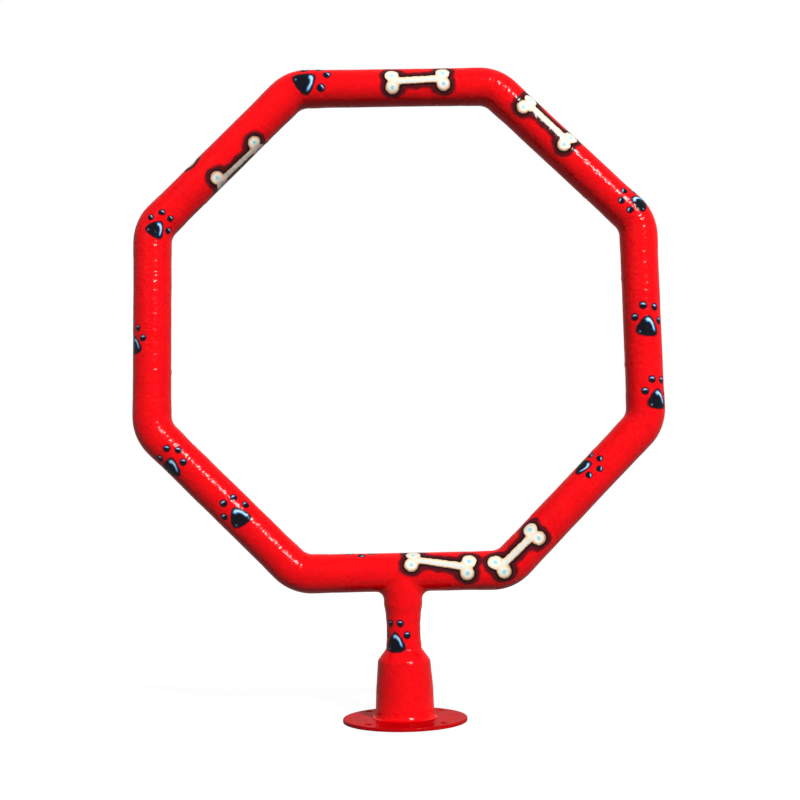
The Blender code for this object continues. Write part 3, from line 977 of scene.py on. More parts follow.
    def bone_recipe(self) -> bpy.types.NodeTree:
        """A cream bone with four knobs, a black outline and a dark red surround."""
        bone = self.bone
        sheet, drawn = self.figure_sheet(Figure.BONE)
        half = sheet.math("MULTIPLY", sheet.given["Size"], 0.5)
        way, side, _ = sheet.parts(drawn)
        ahead = sheet.math("ABSOLUTE", way)
        across = sheet.math("SQRT", sheet.math("MULTIPLY_ADD", side, side, bone.cleft_round))
        knob_middle = sheet.add("CombineXYZ", (half, bone.knob_offset, 0.0))
        from_knob = sheet.length("DISTANCE", sheet.add("CombineXYZ", (ahead, across, 0.0)), knob_middle)
        knob = sheet.math("SUBTRACT", from_knob, bone.knob_radius)
        past_end = sheet.math("SUBTRACT", ahead, half)
        beside = sheet.math("SUBTRACT", across, bone.shaft_half_width)
        shaft = sheet.math("SMOOTH_MAX", past_end, beside, bone.shaft_round)
        edge = sheet.math("SMOOTH_MIN", knob, shaft, bone.knob_blend)
        smudge = sheet.noise(drawn, bone.smudge_scale, 0.0)
        ragged = sheet.math("MULTIPLY_ADD", smudge, bone.smudge_depth, -bone.smudge_depth / 2)
        worn = sheet.math("ADD", ragged, edge)
        lit = sheet.math("MULTIPLY_ADD", side, bone.light_from_side, edge)
        beside = sheet.math("ABSOLUTE", sheet.math("SUBTRACT", side, bone.streak_offset))
        short = sheet.math("ADD", past_end, bone.streak_margin)
        streak = sheet.math("SMOOTH_MAX", beside, short, bone.streak_soft)
        layers = [(worn, bone.surround), (edge, bone.outline), (edge, bone.rim)]
        layers += [(lit, cream) for cream in bone.creams]
        layers.append((streak, bone.streak))
        layers += [(from_knob, light) for light in bone.knob_lights]
        return self.finished(sheet, edge, layers)

    def recipes(self) -> dict[str, bpy.types.NodeTree]:
        """All groups, made on the first call."""
        makers = {
            "pipe place": self.local_recipe, "bend place": self.bend_recipe,
            "brushed enamel": self.film_recipe,
            Figure.PAW.value: self.paw_recipe, Figure.BONE.value: self.bone_recipe,
        }
        return {name: bpy.data.node_groups.get(name) or maker() for name, maker in makers.items()}

    def painted(
        self, sheet: NodeSheet, axis: PipeAxis, motifs: Iterable[Motif], layout: HoopLayout,
        corner: float | None = None,
    ) -> bpy.types.Node:
        """Adds the enamel to a material's sheet.

        Args:
            sheet: The material's nodes.
            axis: The pipe along which the brush was drawn.
            motifs: The figures that reach the piece.
            layout: The hoop's sizes.
            corner: The number of the side before an elbow, plus a half, or none for a straight piece.

        Returns:
            The shader node.
        """
        recipes = self.recipes()
        spot = sheet.spot()

        def place(middle: Vector, pipe: PipeAxis, around: float) -> bpy.types.Node:
            """The place of a point in a pipe's frame, turned to an angle."""
            return sheet.add("Group", {
                "Spot": spot, "Middle": middle, "Along": pipe.along,
                "Out": pipe.outward(around), "Round": pipe.sideways(around),
            }, node_tree=recipes["pipe place"])

        def bent(elbow: float, turn: float, past: float, around: float) -> bpy.types.Node:
            """The place of a point along the pipes through an elbow, turned to an angle."""
            middle = layout.axis(elbow)
            return sheet.add("Group", {
                "Spot": spot, "Pivot": layout.pivot(elbow), "Along": middle.along, "Out": -middle.inward,
                "Bend": layout.bend_radius, "Start Turn": turn, "Start Past": past, "Around": around,
                "Lean": math.cos(around) / layout.tube_radius,
            }, node_tree=recipes["bend place"])

        own_place = place(axis.middle, axis, 0.0) if corner is None else bent(corner, 0.0, 0.0, 0.0)
        film = sheet.add("Group", {"Spot": spot, "Place": own_place}, node_tree=recipes["brushed enamel"])
        for motif in motifs:
            pipe = motif.axis(layout)
            around = math.radians(motif.around)
            if motif.post is None:
                figure_place = place(pipe.middle + pipe.along * motif.along_mm * MM, pipe, around)
            else:
                figure_place = bent(*motif.bend_place(layout), around)
            film = sheet.add("Group", {
                "Colour": film.outputs["Colour"], "Height": film.outputs["Height"], "Place": figure_place,
                "Radius": pipe.radius, "Turn": math.radians(motif.heading), "Size": motif.size,
            }, node_tree=recipes[motif.figure.value])
        bump = sheet.bump(film.outputs["Height"])
        colour = sheet.add("HueSaturation", {"Value": self.lightness, "Color": film.outputs["Colour"]})
        return sheet.add("BsdfPrincipled", {
            "Base Color": colour, "Normal": bump, "Coat Normal": bump,
            "Roughness": self.roughness, "IOR": self.film_ior,
            "Coat Weight": self.coat, "Coat Roughness": self.coat_roughness, "Coat IOR": self.coat_ior,
        })

    def material(
        self, name: str, axis: PipeAxis, motifs: Iterable[Motif], layout: HoopLayout, corner: float | None,
    ) -> bpy.types.Material:
        """Makes the enamel of one piece.

        Args:
            name: The piece's name.
            axis: The pipe along which the brush was drawn.
            motifs: The figures that reach the piece.
            layout: The hoop's sizes.
            corner: The number of the side before an elbow, plus a half, or none for a straight piece.

        Returns:
            The material.
        """
        material, sheet = new_material(f"brushed gloss enamel on {name}")
        sheet.add("OutputMaterial", (self.painted(sheet, axis, motifs, layout, corner),))
        return material


@dataclass(frozen=True)
class PaintedBrass(Enamel):
    """Turned brass nozzle that the enamel ran over, worn bare by the water round its orifice.

    To the eye: a red button with a small dull gold ring.
    """

    brass: str = "#C9A35B"
    dull_brass: str = "#7A5A2C"
    brass_roughness: float = 0.34
    bare_radius: float = 1.8 * MM
    ragged: float = 0.5 * MM
    grains_per_metre: float = 900.0
    # The tool's feed is finer than the render shows, so it is drawn at 0.35 mm
    tool_mark_mm: float = 0.35
    tool_mark_depth: float = 0.004 * MM

    def jet_material(self, axis: PipeAxis, layout: HoopLayout) -> bpy.types.Material:
        """Makes the one material of all jets, whose meshes stand on their own Z axis.

        Args:
            axis: The pipe along which the brush was drawn.
            layout: The hoop's sizes.

        Returns:
            The material.
        """
        material, sheet = new_material("turned brass under worn enamel")
        red = self.painted(sheet, axis, (), layout)
        spot = sheet.spot()
        away = sheet.length("LENGTH", sheet.vector("MULTIPLY", spot, (1.0, 1.0, 0.0)))
        grain = sheet.noise(spot, self.grains_per_metre, 2.0)
        tone = sheet.blend(grain, self.dull_brass, self.brass)
        groove = sheet.math("SINE", sheet.math("MULTIPLY", away, 2000 * math.pi / self.tool_mark_mm))
        metal = sheet.add("BsdfPrincipled", {
            "Base Color": tone, "Metallic": 1.0, "Roughness": self.brass_roughness,
            "Normal": sheet.bump(sheet.math("MULTIPLY", groove, self.tool_mark_depth)),
        })
        bare = sheet.add("MapRange", {
            "Value": sheet.math("MULTIPLY_ADD", grain, self.ragged, away),
            "From Min": self.bare_radius, "From Max": self.bare_radius + self.ragged / 2,
        })
        sheet.add("OutputMaterial", (sheet.add("MixShader", (bare, metal, red)),))
        return material


@dataclass(frozen=True)
class GalvanisedSteel:
    """Hot-dip galvanised malleable iron, as bought.

    To the eye: matt grey zinc with faint frost-like spangles.
    """

    light: str = "#C4C7C9"
    dark: str = "#8F9497"
    smooth: float = 0.34
    rough: float = 0.50
    spangle_mm: float = 6.0
    skin_mm: float = 0.8
    skin_depth: float = 0.03 * MM

    def material(self) -> bpy.types.Material:
        """Makes the material."""
        material, sheet = new_material("hot-dip galvanised iron")
        spot = sheet.spot()
        spangle = sheet.add("TexVoronoi", {"Vector": spot, "Scale": 1000 / self.spangle_mm})
        tint = sheet.parts(spangle.outputs["Color"])["X"]
        skin = sheet.math("MULTIPLY", sheet.noise(spot, 1000 / self.skin_mm, 3.0), self.skin_depth)
        metal = sheet.add("BsdfPrincipled", {
            "Base Color": sheet.blend(tint, self.dark, self.light), "Metallic": 1.0,
            "Roughness": sheet.add("MapRange", {"Value": tint, "To Min": self.smooth, "To Max": self.rough}),
            "Normal": sheet.bump(skin),
        })
        sheet.add("OutputMaterial", (metal,))
        return material


# The hoop


@dataclass
class Hoop:
    """The octagon of pipe: a tee, two stubs, eight elbows, seven tubes and their jets."""

    layout: HoopLayout
    enamel: Enamel = field(default_factory=Enamel)
    hand: HandWork = field(default_factory=HandWork)
    bead: WeldBead = field(default_factory=WeldBead)
    wall: float = 3.9 * MM
    segments: int = 96
    ring_step: float = 2.4 * MM
    bore_step: float = 8.0 * MM
    tee_fillet: float = 12.0 * MM
    tee_fillet_power: float = 0.6
    tee_taper: float = 20.0 * MM
    tee_lip: float = 0.8 * MM
    tee_rows: int = 26
    stem_gap: float = 0.3 * MM
    stem_wall: float = 3.9 * MM
    socket_depth: float = 16.0 * MM
    jets_per_side: int = 2
    jet_end_distance: float = 47.0 * MM
    jet_head_radius: float = 6.0 * MM
    jet_head_height: float = 1.4 * MM
    jet_shank_radius: float = 3.75 * MM
    jet_orifice_radius: float = 1.2 * MM
    jet_sink: float = 0.2 * MM
    jet_dish: float = 0.25 * MM
    jet_round: float = 0.35 * MM
    jet_gap: float = 0.3 * MM
    jet_segments: int = 48
    overrun: float = 3.0 * MM

    @property
    def bore_radius(self) -> float:
        """The radius of the water way."""
        return self.layout.tube_radius - self.wall

    def motifs_near(self, piece: bpy.types.Object) -> list[Motif]:
        """The figures that reach a piece.

        Args:
            piece: The piece to paint.

        Returns:
            Those with a vertex of the piece within their reach.
        """
        spots = np.empty(3 * len(piece.data.vertices))
        piece.data.vertices.foreach_get("co", spots)
        spots = spots.reshape(-1, 3)
        return [
            motif for motif in MOTIFS
            if np.linalg.norm(spots - np.array(motif.middle(self.layout)), axis=1).min() < motif.reach
        ]

    def paint(
        self, piece: bpy.types.Object, node: str, axis: PipeAxis, corner: float | None = None,
        enamel: Enamel | None = None,
    ) -> None:
        """Gives a piece its enamel and its figures, and hands it over.

        Args:
            piece: The piece to paint.
            node: The CAD node that it replaces.
            axis: The pipe along which the brush was drawn.
            corner: The number of the side before an elbow, plus a half, or none for a straight piece.
            enamel: Its own enamel, where that differs from the hoop's.
        """
        coating = enamel or self.enamel
        finish = coating.material(piece.name, axis, self.motifs_near(piece), self.layout, corner)
        hand_over(piece, node, Slot.PAINT, finish)

    def ring_points(self, axis: PipeAxis, along: float, past: float | None) -> list[Vector]:
        """The points of one ring of a pipe, from the front round by the hoop's outside.

        Args:
            axis: The pipe's frame.
            along: The ring's place along it.
            past: The distance past the nearest weld on the painted outside, or none in the bore.

        Returns:
            The points.
        """
        if past is None:
            return [axis.point(along, around, self.bore_radius) for around in circle(self.segments)]
        points = []
        for around in circle(self.segments):
            out = axis.outward(around)
            true = axis.point(along, around, axis.radius)
            points.append(self.hand.laid(true, out) + out * self.bead.rise(past, true))
        return points

    def pipe(self, name: str, rings: Iterable[tuple[PipeAxis, float, float | None]]) -> bpy.types.Object:
        """Builds a pipe out along its outside and back through its bore.

        Args:
            name: The piece's name.
            rings: What ring_points takes for each ring.

        Returns:
            The mesh object.
        """
        skin = Skin(name)
        skin.bands([skin.ring(self.ring_points(*ring)) for ring in rings], closed=True)
        return skin.made()

    def straight(self, name: str, axis: PipeAxis, low: float, high: float) -> bpy.types.Object:
        """Builds a straight pipe.

        Args:
            name: The piece's name.
            axis: The pipe's frame.
            low: Its lower end along the axis.
            high: Its upper end.

        Returns:
            The mesh object.
        """
        end = self.layout.joint
        outside = [(axis, along, abs(along) - end) for along in steps(low, high, self.ring_step)]
        return self.pipe(name, [*outside, (axis, high, None), (axis, low, None)])

    def elbow(self, corner: Corner) -> bpy.types.Object:
        """Builds one elbow, which bends round a point on the hoop's inner side."""
        layout = self.layout
        bend, straight = layout.bend_radius, layout.tangent
        arc = bend * SIDE_TURN
        length = arc + 2 * straight
        pivot = layout.pivot(corner.value + 0.5)

        def station(distance: float) -> PipeAxis:
            """The frame at a distance from the elbow's start on its first side."""
            turned_by = min(max((distance - straight) / bend, 0.0), SIDE_TURN)
            axis = layout.axis(corner.value + turned_by / SIDE_TURN)
            beyond = min(distance - straight, 0.0) + max(distance - straight - arc, 0.0)
            middle = pivot - axis.inward * bend - axis.along * beyond
            return PipeAxis(middle, axis.along, axis.inward, axis.radius)

        out, back = (steps(0.0, length, longest) for longest in (self.ring_step, self.bore_step))
        outside = [(station(distance), 0.0, min(distance, length - distance)) for distance in out]
        bore = [(station(distance), 0.0, None) for distance in reversed(back)]
        return self.pipe(f"elbow_{corner.label}", [*outside, *bore])

    def jet_places(self) -> list[float]:
        """How far from the middle of its side each jet sits."""
        reach = self.layout.straight_half - self.jet_end_distance
        return [reach * (2 * number / (self.jets_per_side - 1) - 1) for number in range(self.jets_per_side)]

    def jet_outline(self, gap: float, overrun: float) -> list[tuple[float, float]]:
        """The outline of a jet, or of the pocket that is cut for it.

        Args:
            gap: The clearance round the head and the shank, none for the jet itself.
            overrun: How far the cutter runs past both faces, none for the jet itself.

        Returns:
            Distances from the jet's axis and heights over the pipe's axis.
        """
        crown = self.layout.tube_radius - self.jet_sink
        seat = crown - self.jet_head_height
        if overrun:
            inside, outside, ledge = self.bore_radius - 2 * overrun, crown + overrun, seat - gap
            shank, head = self.jet_shank_radius + gap, self.jet_head_radius + gap
            return [
                (0.0, inside), (shank, inside), (shank, ledge),
                (head, ledge), (head, outside), (0.0, outside),
            ]
        top = rounded([
            (self.jet_head_radius, seat, 0.0), (self.jet_head_radius, crown, self.jet_round),
            (self.jet_orifice_radius + 2 * self.jet_dish, crown, self.jet_round),
            (self.jet_orifice_radius, crown - self.jet_dish, self.jet_round / 2),
            (self.jet_orifice_radius, self.bore_radius, 0.0),
        ], arc_steps=4)
        return [*top, (self.jet_shank_radius, self.bore_radius), (self.jet_shank_radius, seat)]

    @staticmethod
    def upright(place: Vector, inward: Vector) -> PipeAxis:
        """The frame of a jet, whose axis crosses the pipe's and points to the hoop's middle."""
        return PipeAxis(place, inward, FRONT.cross(inward), 0.0)

    def build_jets(self, side: Side, tube: bpy.types.Object, finish: bpy.types.Material) -> None:
        """Cuts the pockets into a tube and seats its jets.

        Args:
            side: The tube's side.
            tube: The tube's mesh object.
            finish: The jets' material.
        """
        axis = self.layout.axis(side.value)
        for number, along in enumerate(self.jet_places(), start=1):
            place = axis.middle + axis.along * along
            hole, across = self.jet_outline(self.jet_gap, self.overrun), self.upright(place, axis.inward)
            carve(tube, turned("jet pocket", hole, self.jet_segments, across).made())
            outline, own_axis = self.jet_outline(0.0, 0.0), self.upright(Vector(), UP)
            jet = turned(f"jet_{side.label}_{number}", outline, self.jet_segments, own_axis).made()
            jet.matrix_world = Matrix.Translation(place) @ Matrix.Rotation(side.value * SIDE_TURN, 4, "Y")
            hand_over(jet, f"spray_jet_{side.label}_{number}", Slot.BRASS, finish)

    def tee_point(self, corner: float, way: int, share: float) -> tuple[Vector, Vector]:
        """A point of the fillet between the tee's run and its branch.

        Args:
            corner: The angle round the run from the front, through below, to the back.
            way: -1 on the left, 1 on the right.
            share: 0 at the run, 1 at the branch.

        Returns:
            The point, from the middle of the run's axis, and the way out there.
        """
        radius = self.layout.tube_radius
        side, across = math.sin(corner), -math.cos(corner)
        reach = self.tee_fillet * max(side, 0.0) ** self.tee_fillet_power
        bend = share * math.pi / 2
        hub = radius * side + reach
        point = Vector((
            way * (hub - reach * math.sin(bend)), radius * across, -hub + reach * math.cos(bend),
        ))
        on_run, on_branch = Vector((0.0, across, -side)), Vector((way * side, across, 0.0))
        return point, (on_run * math.cos(bend) + on_branch * math.sin(bend)).normalized()

    def branch_radius(self, depth: float, foot: float, mouth: float) -> float:
        """The branch's radius at a depth below the run's axis.

        Args:
            depth: The depth.
            foot: The depth of the branch's mouth.
            mouth: The radius of the mouth.

        Returns:
            The radius, which eases from the run's to the mouth's.
        """
        radius = self.layout.tube_radius
        return radius + (mouth - radius) * smooth_step(foot - self.tee_taper, foot, depth)

    def build_tee(self) -> None:
        """Builds the tee, whose branch grows out of the run through one flowing fillet."""
        low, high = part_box("hoop_tee")
        centre = UP * self.layout.bottom_height
        run_half, foot = (high[0] - low[0]) / 2 + self.stem_gap / 2, centre.z - low[2]
        mouth = self.layout.stem_axis().radius + self.stem_gap + self.tee_lip
        count, half = self.segments, self.segments // 2
        corners = circle(count)
        outs = [Vector((0.0, -math.cos(corner), -math.sin(corner))) for corner in corners]
        radius = self.layout.tube_radius
        skin = Skin("tee")

        def laid(point: Vector, out: Vector) -> Vector:
            """Moves a point of the tee's own frame to its place in the hoop."""
            return self.hand.laid(centre + point, out)

        def around_branch(maker: Callable[[float, int], Vector]) -> list[Vector]:
            """One ring, down the left side from front to back and up the right side."""
            left = [maker(corners[step], -1) for step in range(half + 1)]
            return left + [maker(corners[step], 1) for step in range(half - 1, 0, -1)]

        rings = []
        for row in range(self.tee_rows // 2 + 1):
            share = 2 * row / self.tee_rows
            fillet = around_branch(lambda corner, way: laid(*self.tee_point(corner, way, share)))
            rings.append(skin.ring(fillet))
        saddle = rings[0]
        for row in range(1, self.tee_rows + 1):
            def lowered(corner: float, way: int) -> Vector:
                """A point on the branch, between the fillet's end and the mouth."""
                start = -self.tee_point(corner, way, 1.0)[0].z
                depth = start + (foot - start) * row / self.tee_rows
                out = Vector((way * math.sin(corner), -math.cos(corner), 0.0))
                return laid(out * self.branch_radius(depth, foot, mouth) - UP * depth, out)
            rings.append(skin.ring(around_branch(lowered)))
        skin.bands(rings)
        crown = [skin.ring([laid(outs[step] * radius, outs[step])])[0] for step in range(half + 1, count)]
        mouths = [rings[-1]]
        for way in (-1, 1):
            inner = [saddle[(-way * step) % count] for step in range(half + 1)] + crown
            ends = [self.tee_point(corner, way, 0.0)[0].x for corner in corners[:half + 1]]
            ends += [0.0] * len(crown)
            run = []
            for row in range(self.tee_rows):
                points = []
                for out, end in zip(outs, ends):
                    across = way * run_half + (end - way * run_half) * row / self.tee_rows
                    points.append(laid(RIGHT * across + out * radius, out))
                run.append(skin.ring(points))
            skin.bands([*run, inner])
            mouths.append(run[0])
        for ring in mouths:
            skin.bm.faces.new(ring)
        tee = skin.made()
        self.bore_tee(tee, run_half + self.overrun)
        self.paint(tee, "hoop_tee", self.layout.stem_axis())

    def bore_tee(self, tee: bpy.types.Object, reach: float) -> None:
        """Cuts the water ways and the stem's socket into the tee.

        Args:
            tee: The closed mesh.
            reach: Half the length of the cutter through the run.
        """
        stem = self.layout.stem_axis()
        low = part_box("hoop_tee")[0][2]
        socket, water = stem.radius + self.stem_gap, stem.radius - self.stem_wall
        start, floor, end = low - self.overrun, low + self.socket_depth, self.layout.bottom_height
        bore = self.bore_radius
        run = [(0.0, -reach), (bore, -reach), (bore, reach), (0.0, reach)]
        branch = [(0.0, start), (socket, start), (socket, floor), (water, floor), (water, end), (0.0, end)]
        carve(tee, turned("run bore", run, self.segments, self.layout.axis(Side.BOTTOM.value)).made())
        carve(tee, turned("branch bore", branch, self.segments, stem).made())

    def build(self) -> None:
        """Builds the whole hoop."""
        layout = self.layout
        end = layout.joint
        brass = PaintedBrass().jet_material(layout.axis(Side.TOP.value), layout)
        self.build_tee()
        tee_low, tee_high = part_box("hoop_tee")
        tee_end = (tee_high[0] - tee_low[0]) / 2 + self.stem_gap / 2
        bottom = layout.axis(Side.BOTTOM.value)
        for way, low, high in (("left", -end, -tee_end), ("right", tee_end, end)):
            self.paint(self.straight(f"stub_{way}", bottom, low, high), f"hoop_stub_{way}", bottom)
        for corner in Corner:
            turn = corner.value + 0.5
            self.paint(self.elbow(corner), f"hoop_elbow_{corner.label}", layout.axis(turn), turn)
        for side in list(Side)[1:]:
            axis = layout.axis(side.value)
            tube = self.straight(f"tube_{side.label}", axis, -end, end)
            self.build_jets(side, tube, brass)
            self.paint(tube, f"hoop_tube_{side.label}", axis)


# The foot


@dataclass
class Foot:
    """The stem, the bell, the flange and the inlet coupling."""

    hoop: Hoop
    # The same enamel, duller and with its colour darkened to 0.6 of its lightness, so the plate is a deeper
    # red
    darkened_enamel: Enamel = field(default_factory=lambda: Enamel(coat=0.1, roughness=0.5, lightness=0.6))
    gap: float = 0.3 * MM
    stem_step: float = 2.0 * MM
    fillet_height: float = 14.0 * MM
    lip: float = 0.8 * MM
    bell_wall: float = 3.6 * MM
    bell_collar: float = 3.5 * MM
    shoulder_width: float = 14.0 * MM
    shoulder_drop: float = 17.5 * MM
    skirt_flare: float = 5.0 * MM
    skirt_bulge: float = 1.0 * MM
    weld_width: float = 4.5 * MM
    weld_height: float = 6.0 * MM
    weld_toe: float = 0.3 * MM
    # The middle of the weld's hollow face, as shares of its width and height
    weld_hollow: tuple[float, float] = (0.28, 0.3)
    neck_round: float = 8.0 * MM
    shoulder_round: float = 9.0 * MM
    bulge_round: float = 400.0 * MM
    weld_round: float = 5.0 * MM
    inlet_radius: float = 22.0 * MM
    flange_round: float = 1.6 * MM
    flange_share: float = 0.5
    bolt_count: int = 4
    bolt_radius: float = 5.5 * MM
    bolt_edge_distance: float = 16.2 * MM
    bolt_chamfer: float = 0.7 * MM
    segments: int = 160
    row_step: float = 2.5 * MM

    @property
    def stem(self) -> PipeAxis:
        """The upright axis."""
        return self.hoop.layout.stem_axis()

    def filled(self, profile: Sequence[tuple[float, float]]) -> list[tuple[float, float]]:
        """Adds points to an outline, so that no row of faces is longer than the step."""
        dense = [profile[0]]
        for before, after in zip(profile, profile[1:]):
            start, end = Vector(before), Vector(after)
            count = max(1, math.ceil((end - start).length / self.row_step))
            dense += [tuple(start.lerp(end, number / count)) for number in range(1, count + 1)]
        return dense

    def build_stem(self) -> None:
        """Builds the stem, with the paint heaped against the tee's mouth and the bell's neck."""
        low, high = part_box("stem_pipe")
        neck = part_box("base_bell")[1][2] + self.gap / 2
        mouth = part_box("hoop_tee")[0][2]
        bare = self.stem.radius
        heap = self.gap + self.lip

        def shown(height: float) -> float:
            """The painted radius at a height between the bell and the tee."""
            near = min(height - neck, mouth - height)
            return bare + heap * (1 - smooth_step(0.0, self.fillet_height, near))

        hidden = [(bare - self.hoop.stem_wall, low[2]), (bare, low[2]), (bare, neck)]
        open_part = [(shown(height), height) for height in steps(neck, mouth, self.stem_step)]
        outline = [*hidden, *open_part, (bare, mouth), (bare, high[2]), (bare - self.hoop.stem_wall, high[2])]
        rows = range(len(hidden), len(hidden) + len(open_part))
        stem = turned("stem", outline, self.hoop.segments, self.stem, self.hoop.hand.laid, rows).made()
        self.hoop.paint(stem, "stem_pipe", self.stem)

    def bell_outlines(self) -> tuple[list[tuple[float, float]], list[tuple[float, float]]]:
        """The bell's outside from its neck to the weld's toe on the flange, and its inside back up."""
        (_, _, seat), (_, _, top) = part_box("base_bell")
        fit = self.stem.radius + self.gap
        shoulder = fit + self.shoulder_width
        skirt = shoulder + self.skirt_flare
        cone_top = top - self.bell_collar
        cone_low = cone_top - self.shoulder_drop
        weld_top = seat + self.weld_height
        bulge = (shoulder + skirt) / 2 + self.skirt_bulge
        across, up = self.weld_hollow
        outside = self.filled(rounded([
            (fit + self.lip, top, 0.0),
            (fit + self.lip, cone_top, self.neck_round),
            (shoulder, cone_low, self.shoulder_round),
            (bulge, (cone_low + weld_top) / 2, self.bulge_round),
            (skirt, weld_top, self.weld_round),
            (skirt + self.weld_width * across, seat + self.weld_height * up, self.weld_round / 2),
            (skirt + self.weld_width, seat + self.weld_toe, 0.0),
        ]))
        inside = [
            (skirt + self.weld_width, seat), (skirt - self.bell_wall, seat),
            (shoulder - self.bell_wall, cone_low), (fit, cone_top - self.bell_wall), (fit, top),
        ]
        return outside, inside

    def build_bell(self) -> None:
        """Builds the hollow bell round the inlet."""
        outside, inside = self.bell_outlines()
        rows = range(len(outside))
        bell = turned("bell", outside + inside, self.segments, self.stem, self.hoop.hand.laid, rows).made()
        self.hoop.paint(bell, "base_bell", self.stem)

    def build_flange(self) -> None:
        """Builds the round plate with its bolt holes, whose edges the paint has rounded."""
        low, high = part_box("base_flange")
        radius, thickness = (high[0] - low[0]) / 2, high[2]
        edge = self.flange_round
        outline = self.filled(rounded([
            (self.inlet_radius, thickness, 0.0), (radius, thickness, edge), (radius, 0.0, edge / 2),
            (radius - 4 * edge, 0.0, 0.0),
        ], arc_steps=6))
        outline += [(self.inlet_radius, 0.0)]

        def laid(point: Vector, out: Vector) -> Vector:
            """Leaves the underside and the seat of the bell flat."""
            if point.z < thickness / 2 or Vector((point.x, point.y)).length < self.inlet_radius + edge:
                return point
            return self.hoop.hand.laid(point, UP, self.flange_share)

        flange = turned("flange", outline, self.segments, self.stem, laid).made()
        chamfer, bolt = self.bolt_chamfer, self.bolt_radius
        flare, reach = bolt + 2 * chamfer, 2 * chamfer
        for number in range(self.bolt_count):
            angle = 2 * math.pi * (number + 0.5) / self.bolt_count
            spot = Vector((math.cos(angle), math.sin(angle), 0.0)) * (radius - self.bolt_edge_distance)
            drill = turned("bolt drill", [
                (0.0, -reach), (flare, chamfer - reach), (bolt, chamfer), (bolt, thickness - chamfer),
                (flare, thickness + reach - chamfer), (0.0, thickness + reach),
            ], self.hoop.jet_segments, PipeAxis(spot, UP, -RIGHT, 0.0))
            carve(flange, drill.made())
        self.hoop.paint(flange, "base_flange", self.stem, enamel=self.darkened_enamel)

    def build(self) -> None:
        """Builds the whole foot, and dresses the coupling that stays from the frame."""
        self.build_stem()
        self.build_bell()
        self.build_flange()
        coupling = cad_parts["inlet_coupling"]
        coupling.data.materials.clear()
        coupling.data.materials.append(GalvanisedSteel().material())
        LOG.info("inlet_coupling keeps its solid and gets its zinc")


# Stage, light and camera


@dataclass(frozen=True)
class PaleFloor:
    """Matt white studio board.

    To the eye: an even white that keeps a faint shadow.
    """

    white: str = "#FFFFFF"
    # Darker to the lamps than to the camera, so little light comes back up from it
    board: str = "#4A4A4A"
    glow: float = 0.955
    full_glow: float = 1.0
    glow_start: float = 0.45
    glow_end: float = 1.5
    fibre_mm: float = 3.0
    smooth: float = 0.85
    rough: float = 1.0

    def material(self) -> bpy.types.Material:
        """Makes the board, which glows only for the camera and in reflections."""
        material, sheet = new_material("matt white studio board")
        spot = sheet.spot()
        fibre = sheet.noise(spot, 1000 / self.fibre_mm, 2.0)
        matt = sheet.add("BsdfPrincipled", {
            "Base Color": self.board, "Specular IOR Level": 0.0,
            "Roughness": sheet.add("MapRange", {"Value": fibre, "To Min": self.smooth, "To Max": self.rough}),
        })
        level = sheet.add("MapRange", {
            "Value": sheet.length("LENGTH", spot), "From Min": self.glow_start, "From Max": self.glow_end,
            "To Min": self.glow, "To Max": self.full_glow,
        }, interpolation_type="SMOOTHSTEP")
        strength = sheet.math("MULTIPLY", sheet.seen(), level)
        glow = sheet.add("Emission", {"Color": self.white, "Strength": strength})
        sheet.add("OutputMaterial", (sheet.add("AddShader", (matt, glow)),))
        return material


@dataclass(frozen=True)
class Lamp:
    """A soft square lamp that looks at the middle of the hoop."""

    name: str
    way: tuple[float, float, float]
    distance: float
    size: float
    power: float
    mirrored: bool = False

    def hang(self) -> None:
        """Hangs the lamp. Gloss shows it only if it is mirrored."""
        low, high = (Vector(corner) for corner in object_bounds())
        data = bpy.data.lights.new(self.name, "AREA")
        data.size = self.size
        data.energy = self.power
        lamp = stand(self.name, data)
        lamp.visible_glossy = self.mirrored
        way = Vector(self.way)
        lamp.location = (low + high) / 2 + way.normalized() * self.distance
        lamp.rotation_euler = way.to_track_quat("Z", "Y").to_euler()


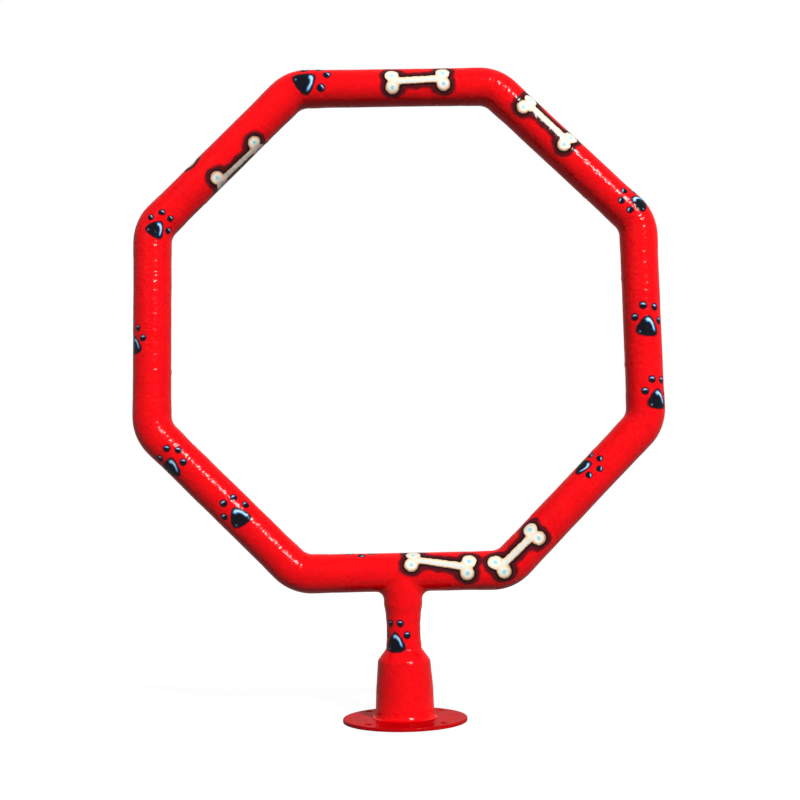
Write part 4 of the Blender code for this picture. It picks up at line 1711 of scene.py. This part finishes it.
@dataclass(frozen=True)
class Studio:
    """The floor, the surroundings, the lamps and the camera."""

    floor_half: float = 6.0
    floor_gap: float = 0.2 * MM
    lamps: tuple[Lamp, ...] = (
        Lamp("key", (0.40, -0.77, 0.50), 6.0, 0.75, 415.0, mirrored=True),
        Lamp("fill", (-0.45, -0.80, 0.40), 4.0, 2.0, 28.0),
        Lamp("back", (-0.20, 0.86, 0.40), 4.0, 2.0, 80.0),
    )
    ambient: str = "#1A1A24"
    white: str = "#FFFFFF"
    camera_place: tuple[float, float, float] = (-0.02159, -1.79987, 0.31460)
    camera_yaw: float = -0.012699
    camera_pitch: float = 0.101827
    camera_roll: float = -0.019097
    camera_lens: float = 51.16
    sensor: float = 36.0
    camera_near: float = 0.05

    def build_floor(self) -> None:
        """Lays the board just under the flange."""
        skin = Skin("floor")
        half, low = self.floor_half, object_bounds()[0][2] - self.floor_gap
        corners = [Vector((x * half, y * half, low)) for x, y in ((-1, -1), (1, -1), (1, 1), (-1, 1))]
        skin.bm.faces.new(skin.ring(corners))
        floor = skin.made()
        floor.data.materials.append(PaleFloor().material())
        floor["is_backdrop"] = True

    def build_world(self) -> None:
        """White for the camera and in reflections, a low cool light for everything else."""
        world = bpy.data.worlds.new("studio")
        bpy.context.scene.world = world
        world.use_nodes = True
        sheet = NodeSheet(world.node_tree)
        dim, white = (sheet.add("Background", (colour, 1.0)) for colour in (self.ambient, self.white))
        sheet.add("OutputWorld", (sheet.add("MixShader", (sheet.seen(), dim, white)),))

    def build_camera(self) -> None:
        """Places the camera that took the photograph."""
        data = bpy.data.cameras.new("camera")
        data.lens = self.camera_lens
        data.sensor_width = self.sensor
        data.clip_start = self.camera_near
        camera = stand("camera", data)
        turns = ((self.camera_yaw, "Z"), (math.pi / 2 + self.camera_pitch, "X"), (self.camera_roll, "Z"))
        camera.matrix_world = Matrix.Translation(self.camera_place)
        for angle, axis in turns:
            camera.matrix_world = camera.matrix_world @ Matrix.Rotation(angle, 4, axis)
        bpy.context.scene.camera = camera

    def build(self) -> None:
        """Sets up the whole stage."""
        bpy.context.scene.view_settings.view_transform = "Standard"
        self.build_floor()
        self.build_world()
        for lamp in self.lamps:
            lamp.hang()
        self.build_camera()
        LOG.info("stage, lamps and camera stand")


def write_sizes() -> None:
    """Puts the CAD's box and the visual model's box side by side as plain numbers."""
    boxes = {"cad": CAD_BOX, "visual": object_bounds()}
    plain = {name: [[float(value) for value in corner] for corner in box] for name, box in boxes.items()}


def main() -> None:
    """Builds the stage, the hoop and the foot, in that order."""
    Studio().build()
    hoop = Hoop(HoopLayout.measured())
    hoop.build()
    Foot(hoop).build()
    write_sizes()


if __name__ == "__main__":
    main()
